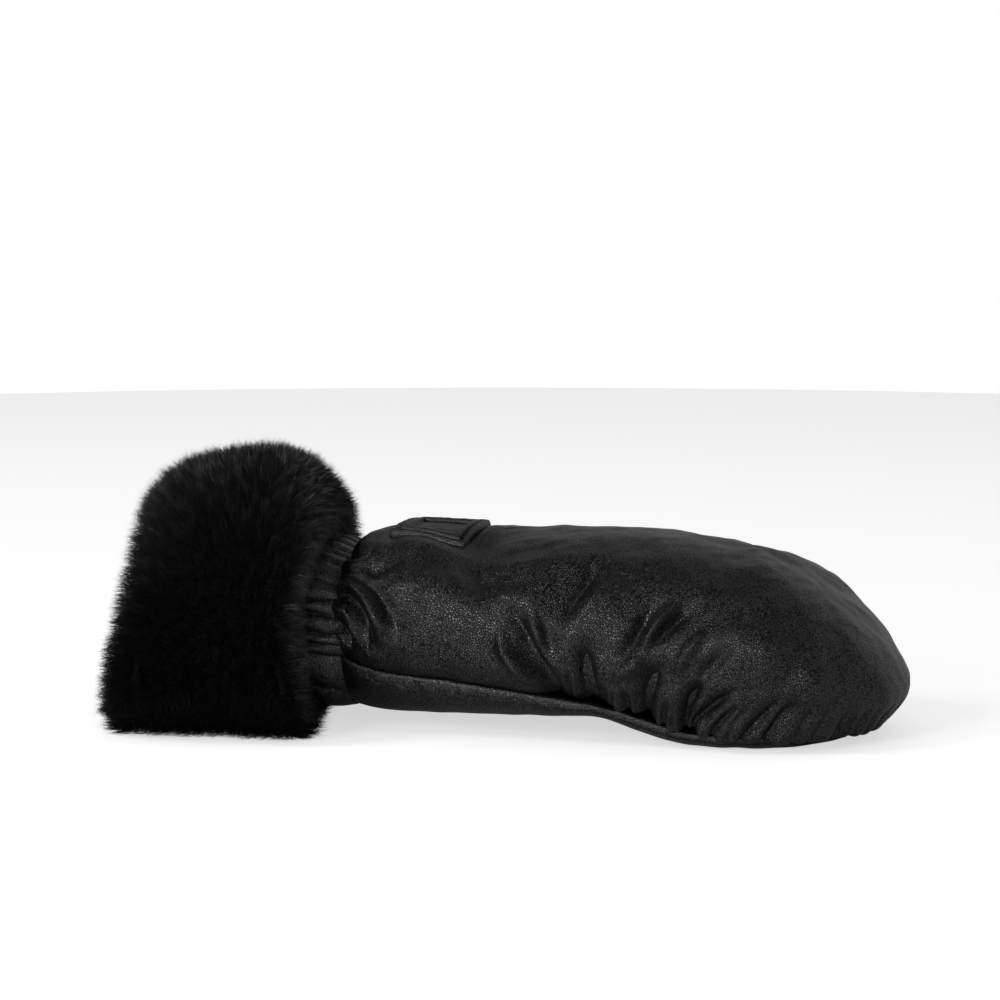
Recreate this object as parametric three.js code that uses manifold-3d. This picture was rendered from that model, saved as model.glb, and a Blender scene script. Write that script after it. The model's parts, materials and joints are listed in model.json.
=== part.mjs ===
// A right-hand winter mitten of padded black leather with a deep fur cuff, lying palm down.
// Millimetres, +Z up. +X runs from the cuff to the fingertips and +Y towards the thumb.
// The leather hand is a gathered back panel sewn down to a flat palm panel, as on a moccasin.
// The thumb is two half shells, an elastic band shirs the wrist, and a square badge lies on the back.
import * as THREE from "three";
import Module from "manifold-3d";

const wasm = await Module();
wasm.setup();

// Driving dimensions
const WRIST_X = -64; // stitch line of the wrist elastic, where the hand panels start
const WRIST_MIDDLE_Z = 38;
const FAN_X = 81; // centre of the fan that the fingertip gathers make
const FAN_SEAM_RADIUS = 43;
const WALL = 3; // leather with its padding
const SEAM_GAP = 0.3; // between sewn edges
const DEGREE = Math.PI / 180;
const UP = new THREE.Vector3(0, 0, 1);

// The hand, from wrist to knuckles. top: height of the back. waist: height of the widest line.
// near, far: half widths of the little-finger side and the thumb side. slant: lean of the wrist line.
// seam: half width of the seam round the palm. seamZ, farSeamZ: its height on the little-finger side
// and on the thumb side. palm: height of the underside.
const HAND = [
  { x: -64, top: 62, waist: 38, near: 43, far: 43, seam: 37, seamZ: 27.6, farSeamZ: 24, palm: 8.5, slant: 0.15 },
  { x: -57, top: 69, waist: 38, near: 46, far: 45, seam: 39, seamZ: 25.2, farSeamZ: 21.5, palm: 7.7, slant: 0.12 },
  { x: -46, top: 71, waist: 37.5, near: 49.5, far: 47, seam: 41, seamZ: 23, farSeamZ: 19, palm: 7.2, slant: 0.06 },
  { x: -20, top: 71, waist: 37, near: 53, far: 49, seam: 44, seamZ: 21.3, farSeamZ: 16.4, palm: 7.8, slant: 0 },
  { x: 18, top: 72.5, waist: 35.5, near: 56, far: 50, seam: 45, seamZ: 17.2, farSeamZ: 13.4, palm: 8.8, slant: 0 },
  { x: 36, top: 72.5, waist: 33.5, near: 56, far: 51, seam: 45, seamZ: 14.8, farSeamZ: 12.6, palm: 9, slant: 0 },
  { x: 52, top: 71.5, waist: 31, near: 56, far: 52, seam: 44.5, seamZ: 11.2, farSeamZ: 9.5, palm: 3.8, slant: 0 },
  { x: 66, top: 70, waist: 29, near: 56, far: 53, seam: 44, seamZ: 7.3, farSeamZ: 6.6, palm: 0.8, slant: 0 },
  { x: 81, top: 67, waist: 27, near: 56, far: 54, seam: 43, seamZ: 5.9, farSeamZ: 5.6, palm: 0, slant: 0 },
];
// The same at the very fingertip, and how full the arch over the back is there and at the sides
const TIP = { waist: 20, reach: 58.5, seam: 41, seamZ: 5, arch: 1.45 };
const SIDE_ARCH = 2.2;

// Gathers: the back panel is eased on to the shorter palm edge all round the fingers.
const GATHERS = 32;
const GATHER_START_X = 20;
const GATHER_DEPTH = 2.4;
const GATHER_CROWN = 0.9;
const GATHER_RISE = 34; // how far up the side a gather fades out
const GATHER_LEAN = 0.5; // how far a gather leans to the fingertip for each millimetre it climbs
const RIBS_PER_GATHER = 3;
const PLAIN_RIBS = 10;

// Folds that the elastic pulls into the hand, and how far along they fade out
const WRIST_FOLD_DEPTH = 2;
const WRIST_FOLD_REACH = 42;

// Creases on the little-finger side, each a line from (x1, z1) to (x2, z2); sinks have minus heights
const CREASES = [
  { x1: 1, z1: 40, x2: 24, z2: 14, height: 1.8, width: 6 },
  { x1: 10, z1: 38, x2: 26, z2: 14, height: -2.6, width: 6 },
  { x1: 36, z1: 62, x2: 23, z2: 38, height: -2.2, width: 9 },
  { x1: 56, z1: 40, x2: 57, z2: 12, height: -1.6, width: 6 },
];
// A hollow pressed into the back beside the badge
const HOLLOW = { x: -19, y: -26, depth: 5, radius: 17 };

// Rows from the seam out to the waist, and from there over to the crown
const LOWER_ROWS = 4;
const UPPER_ROWS = 8;

// The palm's edge stands proud of the seam as a soft roll.
const PALM_WALL = 2;
const PALM_ROLL = 3;
const PALM_TURN_UNDER = 10;
const PALM_ROLL_TOP_SHARE = 0.4;
const PALM_ROLL_STEPS = 2;
const PALM_FLAT_ROWS = 2;

// Elasticated wrist
const BAND = { rear: -90, front: WRIST_X - SEAM_GAP, height: 48, width: 83 };
const BAND_WALL = 2;
const BAND_GATHERS = 26;
const BAND_GATHER_DEPTH = 1.3;
const BAND_STEPS = 3;
const BAND_SQUARENESS = 2.3;

// Fur cuff: the pile's outer form by distance along the arm
const CUFF = [
  { x: -152, top: 79, half: 79, low: 4 },
  { x: -145, top: 86, half: 82, low: 0 },
  { x: -136, top: 92, half: 84, low: 0 },
  { x: -124, top: 96.5, half: 84, low: 0 },
  { x: -110, top: 99.5, half: 83, low: 0 },
  { x: -98, top: 99.5, half: 82, low: 0 },
  { x: -88, top: 95.5, half: 81, low: 0 },
  { x: -80, top: 89.5, half: 80, low: 0.5 },
  { x: -73, top: 82, half: 78, low: 5 },
  { x: -68, top: 74, half: 75, low: 11 },
];
// The room that the pile and its backing leave for the arm
const CUFF_BORE = [
  { x: -152, half: 56, low: 20, high: 72 },
  { x: -116, half: 54, low: 18, high: 72 },
  { x: -92, half: 48, low: 12, high: 68 },
  { x: -82, half: 43.5, low: 11.9, high: 64.1 },
  { x: -60, half: 43.5, low: 11.9, high: 64.1 },
];
// Once round the pile in section: out 0 is the bore and out 1 the outer form.
const CUFF_SECTION = [
  { x: -81, out: 0 },
  { x: -89, out: 0 },
  { x: -102, out: 0 },
  { x: -122, out: 0 },
  { x: -139, out: 0.02 },
  { x: -147, out: 0.16 },
  { x: -151, out: 0.46 },
  { x: -151.5, out: 0.76 },
  { x: -148.5, out: 0.95 },
  { x: -140, out: 1 },
  { x: -130, out: 1 },
  { x: -120, out: 1 },
  { x: -111, out: 1 },
  { x: -102, out: 1 },
  { x: -93, out: 1 },
  { x: -85, out: 0.99 },
  { x: -79, out: 0.95 },
  { x: -75.8, out: 0.8 },
  { x: -76, out: 0.5 },
  { x: -78, out: 0.2 },
];
const CUFF_SIDES = 48;
const CUFF_WIDEST = 0.3; // share of the height at which the slumped pile is widest
const CUFF_ROUND_TOP = 1.85;
const CUFF_SQUARE_BASE = 4;
const CUFF_SKEW = 0.14; // the cuff is turned a little on the wrist
const CUFF_RIM_SKEW = 0.187; // and its outer rim beside the hand a little more
const CUFF_SLUMP = 0.06; // lean of the open end over its foot
const CUFF_PINCH = { from: -96, to: -78, z: 42, spread: 18, depth: 7 }; // drawn in beside the wrist
const BORE_SQUARENESS = 2.3;
const LOCK_HEIGHT = 3;
const LOCK_FROM = 0.3; // locks stand on the pile beyond this share of its depth
const FLATTENED_BELOW = 4; // pile lower than this is pressed flat on the ground

// Thumb: stations along its middle line, from inside the hand to the tip
const THUMB = [
  { x: -42, y: 24, z: 36, wide: 17, tall: 15 },
  { x: -22, y: 36, z: 35.5, wide: 20, tall: 17.5 },
  { x: 0, y: 51, z: 34, wide: 22, tall: 19 },
  { x: 20, y: 63, z: 30, wide: 22.5, tall: 19.5 },
  { x: 38, y: 70, z: 25.5, wide: 21, tall: 18.5 },
  { x: 52, y: 73, z: 22, wide: 17.5, tall: 16 },
  { x: 61, y: 74.2, z: 20.5, wide: 12.5, tall: 12 },
  { x: 67, y: 74.8, z: 20, wide: 5, tall: 5 },
];
const THUMB_SIDES = 16;
const THUMB_RINGS = 10;
const THUMB_SEAM = { x: 35, z: 27, slope: -0.22 };

// Badge: a square of leather with a raised border, sewn to the back of the hand
const BADGE = {
  x: -35, y: -3, turn: -4, side: 30, lift: 0.6, thick: 1.4,
  border: 2.2, groove: 1.2, frame: 2, relief: 0.6,
};

// Tables and meshes

// Reads one column of a table as a smooth curve through its rows.
function column(rows, name, key = "x") {
  const at = rows.map((row) => row[key]);
  const value = rows.map((row) => row[name]);
  const last = rows.length - 1;
  const slope = value.map((_, i) => {
    const before = Math.max(i - 1, 0);
    const after = Math.min(i + 1, last);
    return (value[after] - value[before]) / (at[after] - at[before]);
  });
  return (x) => {
    let i = 0;
    while (i < last - 1 && x > at[i + 1]) i++;
    const span = at[i + 1] - at[i];
    const t = THREE.MathUtils.clamp((x - at[i]) / span, 0, 1);
    const rise = value[i + 1] - value[i];
    const bend = t * (1 - t) * ((slope[i] * span - rise) * (1 - t) - (slope[i + 1] * span - rise) * t);
    return value[i] + rise * t + bend;
  };
}

const columns = (rows, names, key) =>
  Object.fromEntries(names.map((name) => [name, column(rows, name, key)]));

// One closed or open surface from quads between neighbouring rows of points. With peaks, every
// second point stands alone as a peak.
function surface(rows, { closeRows = false, closeColumns = false, peaks = false } = {}) {
  const across = rows[0].length;
  const triangles = [];
  for (let i = 0; i < rows.length - (closeRows ? 0 : 1); i++)
    for (let j = 0; j < across - (closeColumns ? 0 : 1); j++) {
      const a = rows[i][j];
      const b = rows[(i + 1) % rows.length][j];
      const c = rows[(i + 1) % rows.length][(j + 1) % across];
      const d = rows[i][(j + 1) % across];
      if (peaks && (i + j) % 2) triangles.push([a, b, d], [b, c, d]);
      else triangles.push([a, b, c], [a, c, d]);
    }
  return triangles;
}

const reversed = (triangles) => triangles.map(([a, b, c]) => [a, c, b]);

// A fan of triangles from a middle point to a closed loop
function cap(loop) {
  const middle = loop.reduce((sum, p) => sum.add(p), new THREE.Vector3()).divideScalar(loop.length);
  return loop.map((p, i) => [middle, p, loop[(i + 1) % loop.length]]);
}

const cell = (p) => [p.x, p.y, p.z].map((v) => Math.round(v * 1e3)).join();

// An indexed geometry with shared vertices and no collapsed triangle
function weld(triangles) {
  const places = new Map();
  const points = [];
  const indexOf = (p) => {
    if (!places.has(cell(p))) places.set(cell(p), points.push(p) - 1);
    return places.get(cell(p));
  };
  const corners = triangles.map((triangle) => triangle.map(indexOf));
  const sound = corners.filter(([a, b, c]) => a !== b && b !== c && c !== a);
  const geometry = new THREE.BufferGeometry().setFromPoints(points);
  geometry.setIndex(sound.flat());
  return geometry;
}

// Gives the outward normal at any point of a surface, shared by the points that coincide.
function normalsOf(triangles) {
  const sums = new Map();
  for (const [a, b, c] of triangles) {
    const face = b.clone().sub(a).cross(c.clone().sub(a));
    for (const p of [a, b, c]) sums.set(cell(p), face.clone().add(sums.get(cell(p)) ?? new THREE.Vector3()));
  }
  return (p) => sums.get(cell(p)).clone().normalize();
}

function toManifold(geometry) {
  return new wasm.Manifold(
    new wasm.Mesh({
      numProp: 3,
      vertProperties: geometry.getAttribute("position").array,
      triVerts: new Uint32Array(geometry.index.array),
    }),
  );
}

function fromManifold(solid) {
  const mesh = solid.getMesh();
  const geometry = new THREE.BufferGeometry();
  geometry.setAttribute("position", new THREE.BufferAttribute(mesh.vertProperties, 3));
  geometry.setIndex(new THREE.BufferAttribute(mesh.triVerts, 1));
  return geometry;
}

// The closed geometry pushed out along its normals
function grown(geometry, distance) {
  const made = geometry.clone();
  made.computeVertexNormals();
  const position = made.getAttribute("position");
  const normal = made.getAttribute("normal");
  for (let i = 0; i < position.count; i++)
    position.setXYZ(
      i,
      position.getX(i) + normal.getX(i) * distance,
      position.getY(i) + normal.getY(i) * distance,
      position.getZ(i) + normal.getZ(i) * distance,
    );
  made.deleteAttribute("normal");
  return made;
}

// The hand's surface: s runs along the palm seam from the near wrist round the fingers to the far wrist.

const hand = columns(HAND, ["top", "waist", "near", "far", "seam", "seamZ", "farSeamZ", "palm", "slant"]);
const SIDE = FAN_X - WRIST_X;
const HALF_FAN = (FAN_SEAM_RADIUS * Math.PI) / 2;
const SEAM_LENGTH = 2 * (SIDE + HALF_FAN);

function station(s) {
  const fromWrist = Math.min(s, SEAM_LENGTH - s);
  const farSide = s > SEAM_LENGTH / 2;
  const x = Math.min(WRIST_X + fromWrist, FAN_X);
  const turn = Math.max(fromWrist - SIDE, 0) / HALF_FAN;
  const tip = Math.sin((turn * Math.PI) / 2) ** 2;
  const angle = (farSide ? 1 : -1) * (1 - turn) * 90 * DEGREE;
  const mix = (side, end) => THREE.MathUtils.lerp(side, end, tip);
  return {
    x,
    tip,
    along: Math.cos(angle),
    across: Math.sin(angle),
    top: hand.top(x),
    palm: Math.max(hand.palm(x), 0),
    waist: mix(hand.waist(x), TIP.waist),
    reach: mix(farSide ? hand.far(x) : hand.near(x), TIP.reach),
    seam: mix(hand.seam(x), TIP.seam),
    seamZ: mix(farSide ? hand.farSeamZ(x) : hand.seamZ(x), TIP.seamZ),
    arch: mix(SIDE_ARCH, TIP.arch),
    slant: hand.slant(x),
  };
}

const wristLine = (z) => WRIST_X - HAND[0].slant * (z - WRIST_MIDDLE_Z);

const placed = (at, r, z) =>
  new THREE.Vector3(at.x + at.along * r - at.slant * (z - WRIST_MIDDLE_Z), at.across * r, z);

const hollow = (x, y) =>
  HOLLOW.depth * Math.exp(-((x - HOLLOW.x) ** 2 + (y - HOLLOW.y) ** 2) / HOLLOW.radius ** 2);

// A point of the smooth back panel. beta is -90 degrees at the seam, 0 at the waist and 90 at the crown.
function backPoint(s, beta) {
  const at = station(s);
  const c = Math.max(Math.cos(beta), 0);
  const v = Math.sin(beta);
  if (beta < 0)
    return placed(at, at.seam + (at.reach - at.seam) * c, at.waist + (at.waist - at.seamZ) * v);
  const power = 2 / at.arch;
  const point = placed(at, at.reach * c ** power, at.waist + (at.top - at.waist) * v ** power);
  point.z -= hollow(point.x, point.y) * v;
  return point;
}

const BETAS = [
  ...Array.from({ length: LOWER_ROWS }, (_, j) => -90 + (90 * j) / LOWER_ROWS),
  ...Array.from({ length: UPPER_ROWS + 1 }, (_, j) => (90 * j) / UPPER_ROWS),
].map((degrees) => degrees * DEGREE);

// How far the rib of gathers at s has moved along the seam by the time it reaches beta
function lean(s, beta) {
  const start = GATHER_START_X - WRIST_X;
  const fromWrist = Math.min(s, SEAM_LENGTH - s);
  const grow = THREE.MathUtils.smoothstep(fromWrist, start, SIDE);
  const fade = Math.min((SEAM_LENGTH / 2 - fromWrist) / (HALF_FAN / 2), 1);
  const climbed = GATHER_RISE * Math.min((beta + 90 * DEGREE) / (90 * DEGREE), 1);
  const settle = beta > 0 ? Math.cos(beta) ** 2 : 1;
  const side = s > SEAM_LENGTH / 2 ? -1 : 1;
  return side * GATHER_LEAN * grow * fade * climbed * settle;
}

// Outward swell or sink of the leather at rib i, row j
function gather(rib, beta) {
  const climbed = Math.min((beta + 90 * DEGREE) / (120 * DEGREE), 1);
  const strength = (1 - climbed) ** 1.3;
  const sewn = beta < -89 * DEGREE;
  if (rib.valley) return -GATHER_DEPTH * strength * (sewn ? 0.25 : 1);
  return sewn ? 0 : GATHER_CROWN * strength;
}

// Swell or sink of the creases at a point of the back panel
function crease({ x, y, z }) {
  if (y > -1) return 0;
  const point = new THREE.Vector3(x, z, 0);
  return CREASES.reduce((sum, { x1, z1, x2, z2, height, width }) => {
    const line = new THREE.Line3(new THREE.Vector3(x1, z1, 0), new THREE.Vector3(x2, z2, 0));
    const distance = line.closestPointToPoint(point, true, new THREE.Vector3()).distanceTo(point);
    return sum + height * Math.exp(-((distance / width) ** 2));
  }, 0);
}

function wristFold(s, row, beta) {
  const fromWrist = Math.min(s, SEAM_LENGTH - s);
  const fade = Math.max(1 - fromWrist / WRIST_FOLD_REACH, 0);
  const underBadge = beta > 40 * DEGREE || row === 0;
  return underBadge ? 0 : (row % 2 ? 1 : -1) * WRIST_FOLD_DEPTH * fade;
}

// Where the ribs stand along the seam: closer together near the wrist on the plain sides, and three
// to a gather round the fingers
function ribList() {
  const start = GATHER_START_X - WRIST_X;
  const gathered = SEAM_LENGTH - 2 * start;
  const count = GATHERS * RIBS_PER_GATHER;
  const nearSide = Array.from({ length: PLAIN_RIBS }, (_, i) => ({ s: start * (i / PLAIN_RIBS) ** 1.15 }));
  const fingers = Array.from({ length: count + 1 }, (_, i) => ({
    s: start + (gathered * i) / count,
    valley: i % RIBS_PER_GATHER === 0,
    pleated: true,
  }));
  const farSide = nearSide.map(({ s }) => ({ s: SEAM_LENGTH - s })).reverse();
  return [...nearSide, ...fingers, ...farSide];
}

// The back panel's ribs, each with its smooth, outer and inner points
function backRibs() {
  const ribs = ribList();
  const smooth = ribs.map((rib) => BETAS.map((beta) => backPoint(rib.s + lean(rib.s, beta), beta)));
  const normal = normalsOf(surface(smooth));
  const pushed = (distance) =>
    smooth.map((rib, i) =>
      rib.map((p, j) => {
        const made = p.clone().addScaledVector(normal(p), distance(ribs[i], j, p));
        if (i === 0 || i === ribs.length - 1) made.x = wristLine(made.z);
        return made;
      }),
    );
  const outer = pushed((rib, j, p) => {
    const folds = wristFold(rib.s, j, BETAS[j]) + (j > 0 ? crease(p) : 0);
    return folds + (rib.pleated ? gather(rib, BETAS[j]) : 0);
  });
  const inner = pushed((rib, j, p) => {
    const nearGathers = rib.pleated ? GATHER_DEPTH * Math.max(Math.cos(BETAS[j]), 0) * 0.6 : 0;
    return -WALL - nearGathers + Math.min(crease(p), 0);
  });
  return { ribs, outer, inner };
}

// A panel's two faces joined round their seam and wrist edges
function shell(outer, inner) {
  const last = outer.length - 1;
  const edges = [
    surface([outer.map((rib) => rib[0]), inner.map((rib) => rib[0])]),
    reversed(surface([outer[0], inner[0]])),
    surface([outer[last], inner[last]]),
  ];
  return [...surface(outer), ...reversed(surface(inner)), ...edges.flat()];
}

// One rib of the palm panel, from the seam to the middle line: its outer and inner points
function palmRib(s) {
  const at = station(s);
  const top = at.seamZ - SEAM_GAP;
  const depth = top - at.palm;
  const middle = top - Math.min(PALM_ROLL, depth * PALM_ROLL_TOP_SHARE);
  const roll = Math.min(PALM_ROLL, depth * 0.5);
  const outer = [];
  for (let k = 0; k <= PALM_ROLL_STEPS; k++) {
    const a = (90 * DEGREE * (PALM_ROLL_STEPS - k)) / PALM_ROLL_STEPS;
    outer.push(placed(at, at.seam + roll * Math.cos(a), middle + (top - middle) * Math.sin(a)));
  }
  for (let k = 1; k <= PALM_ROLL_STEPS; k++) {
    const a = (90 * DEGREE * k) / PALM_ROLL_STEPS;
    const r = at.seam - PALM_TURN_UNDER + (PALM_TURN_UNDER + roll) * Math.cos(a);
    outer.push(placed(at, r, middle - (middle - at.palm) * Math.sin(a)));
  }
  const edge = at.seam - PALM_TURN_UNDER;
  const inner = outer.map((_, k) => {
    const share = k / (2 * PALM_ROLL_STEPS);
    const r = at.seam - PALM_WALL - (PALM_TURN_UNDER - PALM_WALL) * share;
    return placed(at, r, THREE.MathUtils.lerp(top, at.palm + PALM_WALL, Math.sin(share * 90 * DEGREE)));
  });
  for (let k = 1; k <= PALM_FLAT_ROWS; k++) {
    const r = edge * (1 - k / PALM_FLAT_ROWS);
    outer.push(placed(at, r, at.palm));
    inner.push(placed(at, r, at.palm + PALM_WALL));
  }
  return { outer, inner };
}

function palmPanel(ribs) {
  const sewn = ribs.filter((rib) => !rib.pleated || rib.valley).map((rib) => palmRib(rib.s));
  const outer = sewn.map((rib) => rib.outer);
  const inner = sewn.map((rib) => rib.inner);
  return weld(reversed(shell(outer, inner)));
}

// The whole hand as one closed form, for fitting the thumb and the badge to it
function handBody({ ribs, outer }) {
  const under = ribs.map((rib) => palmRib(rib.s).outer);
  const last = ribs.length - 1;
  const wrist = [
    ...outer[0].slice().reverse(), ...under[0],
    ...under[last].slice(0, -1).reverse(), ...outer[last].slice(0, -1),
  ];
  const seam = surface([outer.map((rib) => rib[0]), under.map((rib) => rib[0])]);
  return weld([...surface(outer), ...reversed(surface(under)), ...seam, ...reversed(cap(wrist))]);
}

// The wrist band: a shirred ring of leather on elastic

// A point on a rounded, squarish loop round the arm
function loopPoint(x, angle, half, low, high, squareness) {
  const power = 2 / squareness;
  const c = Math.cos(angle);
  const v = Math.sin(angle);
  const y = half * Math.sign(c) * Math.abs(c) ** power;
  const z = (low + high) / 2 + ((high - low) / 2) * Math.sign(v) * Math.abs(v) ** power;
  return new THREE.Vector3(x, y, z);
}

function wristBand() {
  const sides = BAND_GATHERS * BAND_STEPS;
  const low = WRIST_MIDDLE_Z - BAND.height / 2;
  const high = WRIST_MIDDLE_Z + BAND.height / 2;
  const ring = (x, inset, depth) =>
    Array.from({ length: sides }, (_, i) => {
      const size = Math.cos((2 * Math.PI * i) / BAND_STEPS) * depth - inset;
      const angle = (2 * Math.PI * i) / sides;
      const half = BAND.width / 2 + size;
      const point = loopPoint(x, angle, half, low - size, high + size, BAND_SQUARENESS);
      point.x += wristLine(point.z) - WRIST_X;
      return point;
    });
  const middle = (BAND.rear + BAND.front) / 2;
  const section = [
    ring(BAND.rear, 0, BAND_GATHER_DEPTH),
    ring(middle, 1, BAND_GATHER_DEPTH),
    ring(BAND.front, 0, BAND_GATHER_DEPTH),
    ring(BAND.front, BAND_WALL, BAND_GATHER_DEPTH / 2),
    ring(middle, BAND_WALL + 1, BAND_GATHER_DEPTH / 2),
    ring(BAND.rear, BAND_WALL, BAND_GATHER_DEPTH / 2),
  ];
  return weld(reversed(surface(section, { closeRows: true, closeColumns: true })));
}

// The fur cuff: a hollow roll of deep pile on its backing, in staggered locks
function furCuff() {
  const pile = columns(CUFF, ["top", "half", "low"]);
  const bore = columns(CUFF_BORE, ["half", "low", "high"]);
  const rows = CUFF_SECTION.map(({ x, out }, i) =>
    Array.from({ length: CUFF_SIDES }, (_, j) => {
      const angle = (2 * Math.PI * j) / CUFF_SIDES;
      const upper = Math.sin(angle) >= 0;
      const widest = pile.top(x) * CUFF_WIDEST;
      const outside = upper
        ? loopPoint(x, angle, pile.half(x), 2 * widest - pile.top(x), pile.top(x), CUFF_ROUND_TOP)
        : loopPoint(x, angle, pile.half(x), pile.low(x), 2 * widest - pile.low(x), CUFF_SQUARE_BASE);
      const inside = loopPoint(x, angle, bore.half(x), bore.low(x), bore.high(x), BORE_SQUARENESS);
      const point = inside.clone().lerp(outside, out);
      const lock = out > LOCK_FROM ? ((i + j) % 2 ? LOCK_HEIGHT : -LOCK_HEIGHT) / 2 : 0;
      point.addScaledVector(outside.clone().sub(inside).normalize(), lock);
      point.z = out > 0.9 && outside.z < FLATTENED_BELOW ? 0 : Math.max(point.z, 0);
      const towardsWrist = THREE.MathUtils.smoothstep(x, CUFF_PINCH.from, CUFF_PINCH.to);
      const pinch = Math.exp(-(((point.z - CUFF_PINCH.z) / CUFF_PINCH.spread) ** 2));
      const skew = THREE.MathUtils.lerp(CUFF_SKEW, CUFF_RIM_SKEW * out, towardsWrist);
      point.x += CUFF_SLUMP * (point.z - CUFF_PINCH.z) * (1 - towardsWrist) - skew * point.y;
      point.x -= CUFF_PINCH.depth * pinch * towardsWrist * out;
      return point;
    }),
  );
  return weld(reversed(surface(rows, { closeRows: true, closeColumns: true, peaks: true })));
}

// The thumb

// A closed sleeve round the thumb's middle line, smaller all round by inset
function thumbForm(inset) {
  const line = columns(THUMB, ["y", "z", "wide", "tall"]);
  const from = THUMB[0].x;
  const to = THUMB[THUMB.length - 1].x - inset;
  const rings = Array.from({ length: THUMB_RINGS + 1 }, (_, i) => {
    const x = from + (to - from) * Math.sin((90 * DEGREE * i) / THUMB_RINGS);
    const step = 0.5;
    const ahead = new THREE.Vector3(2 * step, line.y(x + step) - line.y(x - step), 0).normalize();
    const across = new THREE.Vector3(-ahead.y, ahead.x, 0);
    return Array.from({ length: THUMB_SIDES }, (_, j) => {
      const angle = (2 * Math.PI * j) / THUMB_SIDES;
      const wide = Math.max(line.wide(x) - inset, 1);
      const tall = Math.max(line.tall(x) - inset, 1);
      const point = new THREE.Vector3(x, line.y(x), line.z(x) + tall * Math.sin(angle));
      return point.addScaledVector(across, wide * Math.cos(angle));
    });
  });
  const side = surface(rings, { closeColumns: true });
  return weld([...reversed(side), ...reversed(cap(rings[0])), ...cap(rings[rings.length - 1])]);
}

// The part of the thumb above (1) or below (-1) its own seam
function thumbHalf(thumb, sign) {
  const up = new THREE.Vector3(-THUMB_SEAM.slope, 0, 1).normalize().multiplyScalar(sign);
  const offset = up.x * THUMB_SEAM.x + up.z * THUMB_SEAM.z;
  return thumb.trimByPlane([up.x, up.y, up.z], offset + SEAM_GAP / 2);
}

// The badge, laid on the smooth back of the hand
function backHeight(x, y) {
  const half = y < 0 ? hand.near(x) : hand.far(x);
  const rise = (1 - Math.abs(y / half) ** SIDE_ARCH) ** (1 / SIDE_ARCH);
  return hand.waist(x) + (hand.top(x) - hand.waist(x)) * rise - hollow(x, y) * rise;
}

function badge() {
  const edge = BADGE.side / 2;
  const border = edge - BADGE.border;
  const groove = border - BADGE.groove;
  const field = groove - BADGE.frame;
  const middleOfGroove = (border + groove) / 2;
  const marks = [field - BADGE.relief, field, groove, middleOfGroove, border, edge];
  const lines = [...marks.map((m) => -m).reverse(), 0, ...marks];
  const relief = (u, v) => {
    const d = Math.max(Math.abs(u), Math.abs(v));
    return d === middleOfGroove || d < field ? 0 : BADGE.relief;
  };
  const sheet = (lift, carved) =>
    lines.map((u) =>
      lines.map((v) => {
        const rise = lift + (carved ? relief(u, v) : 0);
        const point = new THREE.Vector3(u, v, rise).applyAxisAngle(UP, BADGE.turn * DEGREE);
        point.x += BADGE.x;
        point.y += BADGE.y;
        point.z += backHeight(point.x, point.y);
        return point;
      }),
    );
  const under = sheet(BADGE.lift, false);
  const over = sheet(BADGE.lift + BADGE.thick, true);
  const last = lines.length - 1;
  const rim = (rows) => [
    ...rows[0],
    ...rows.slice(1, last).map((row) => row[last]),
    ...rows[last].slice().reverse(),
    ...rows.slice(1, last).map((row) => row[0]).reverse(),
  ];
  const sides = surface([rim(over), rim(under)], { closeColumns: true });
  return weld([...surface(over), ...reversed(surface(under)), ...reversed(sides)]);
}

// Materials
const leather = new THREE.MeshStandardMaterial({ color: 0x17181a, roughness: 0.42, metalness: 0 });
const fur = new THREE.MeshStandardMaterial({ color: 0x0b0b0c, roughness: 0.85, metalness: 0 });
const badgeLeather = new THREE.MeshStandardMaterial({ color: 0x1c1d1f, roughness: 0.5, metalness: 0 });

// Assembly
const mitten = new THREE.Group();

function add(name, geometry, material) {
  const mesh = new THREE.Mesh(geometry, material);
  mesh.name = name;
  mitten.add(mesh);
}

const back = backRibs();
const thumbRoom = toManifold(thumbForm(WALL));
const fittedHand = toManifold(grown(handBody(back), SEAM_GAP));
const thumb = toManifold(thumbForm(0)).subtract(fittedHand).subtract(thumbRoom);
const panel = toManifold(weld(shell(back.outer, back.inner)));

add("back_panel", fromManifold(panel.subtract(thumbRoom)), leather);
add("palm_panel", palmPanel(back.ribs), leather);
add("thumb_back", fromManifold(thumbHalf(thumb, 1)), leather);
add("thumb_palm", fromManifold(thumbHalf(thumb, -1)), leather);
add("wrist_band", wristBand(), leather);
add("fur_cuff", furCuff(), fur);
add("badge", badge(), badgeLeather);

// The origin is the middle of the box round the mitten, on the ground.
const box = new THREE.Box3().setFromObject(mitten);
mitten.position.set(-(box.min.x + box.max.x) / 2, -(box.min.y + box.max.y) / 2, -box.min.z);

export default mitten;
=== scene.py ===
import json
import math

import bpy
import numpy as np
from mathutils import Matrix, Vector
from mathutils.bvhtree import BVHTree
from mathutils.kdtree import KDTree

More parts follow.
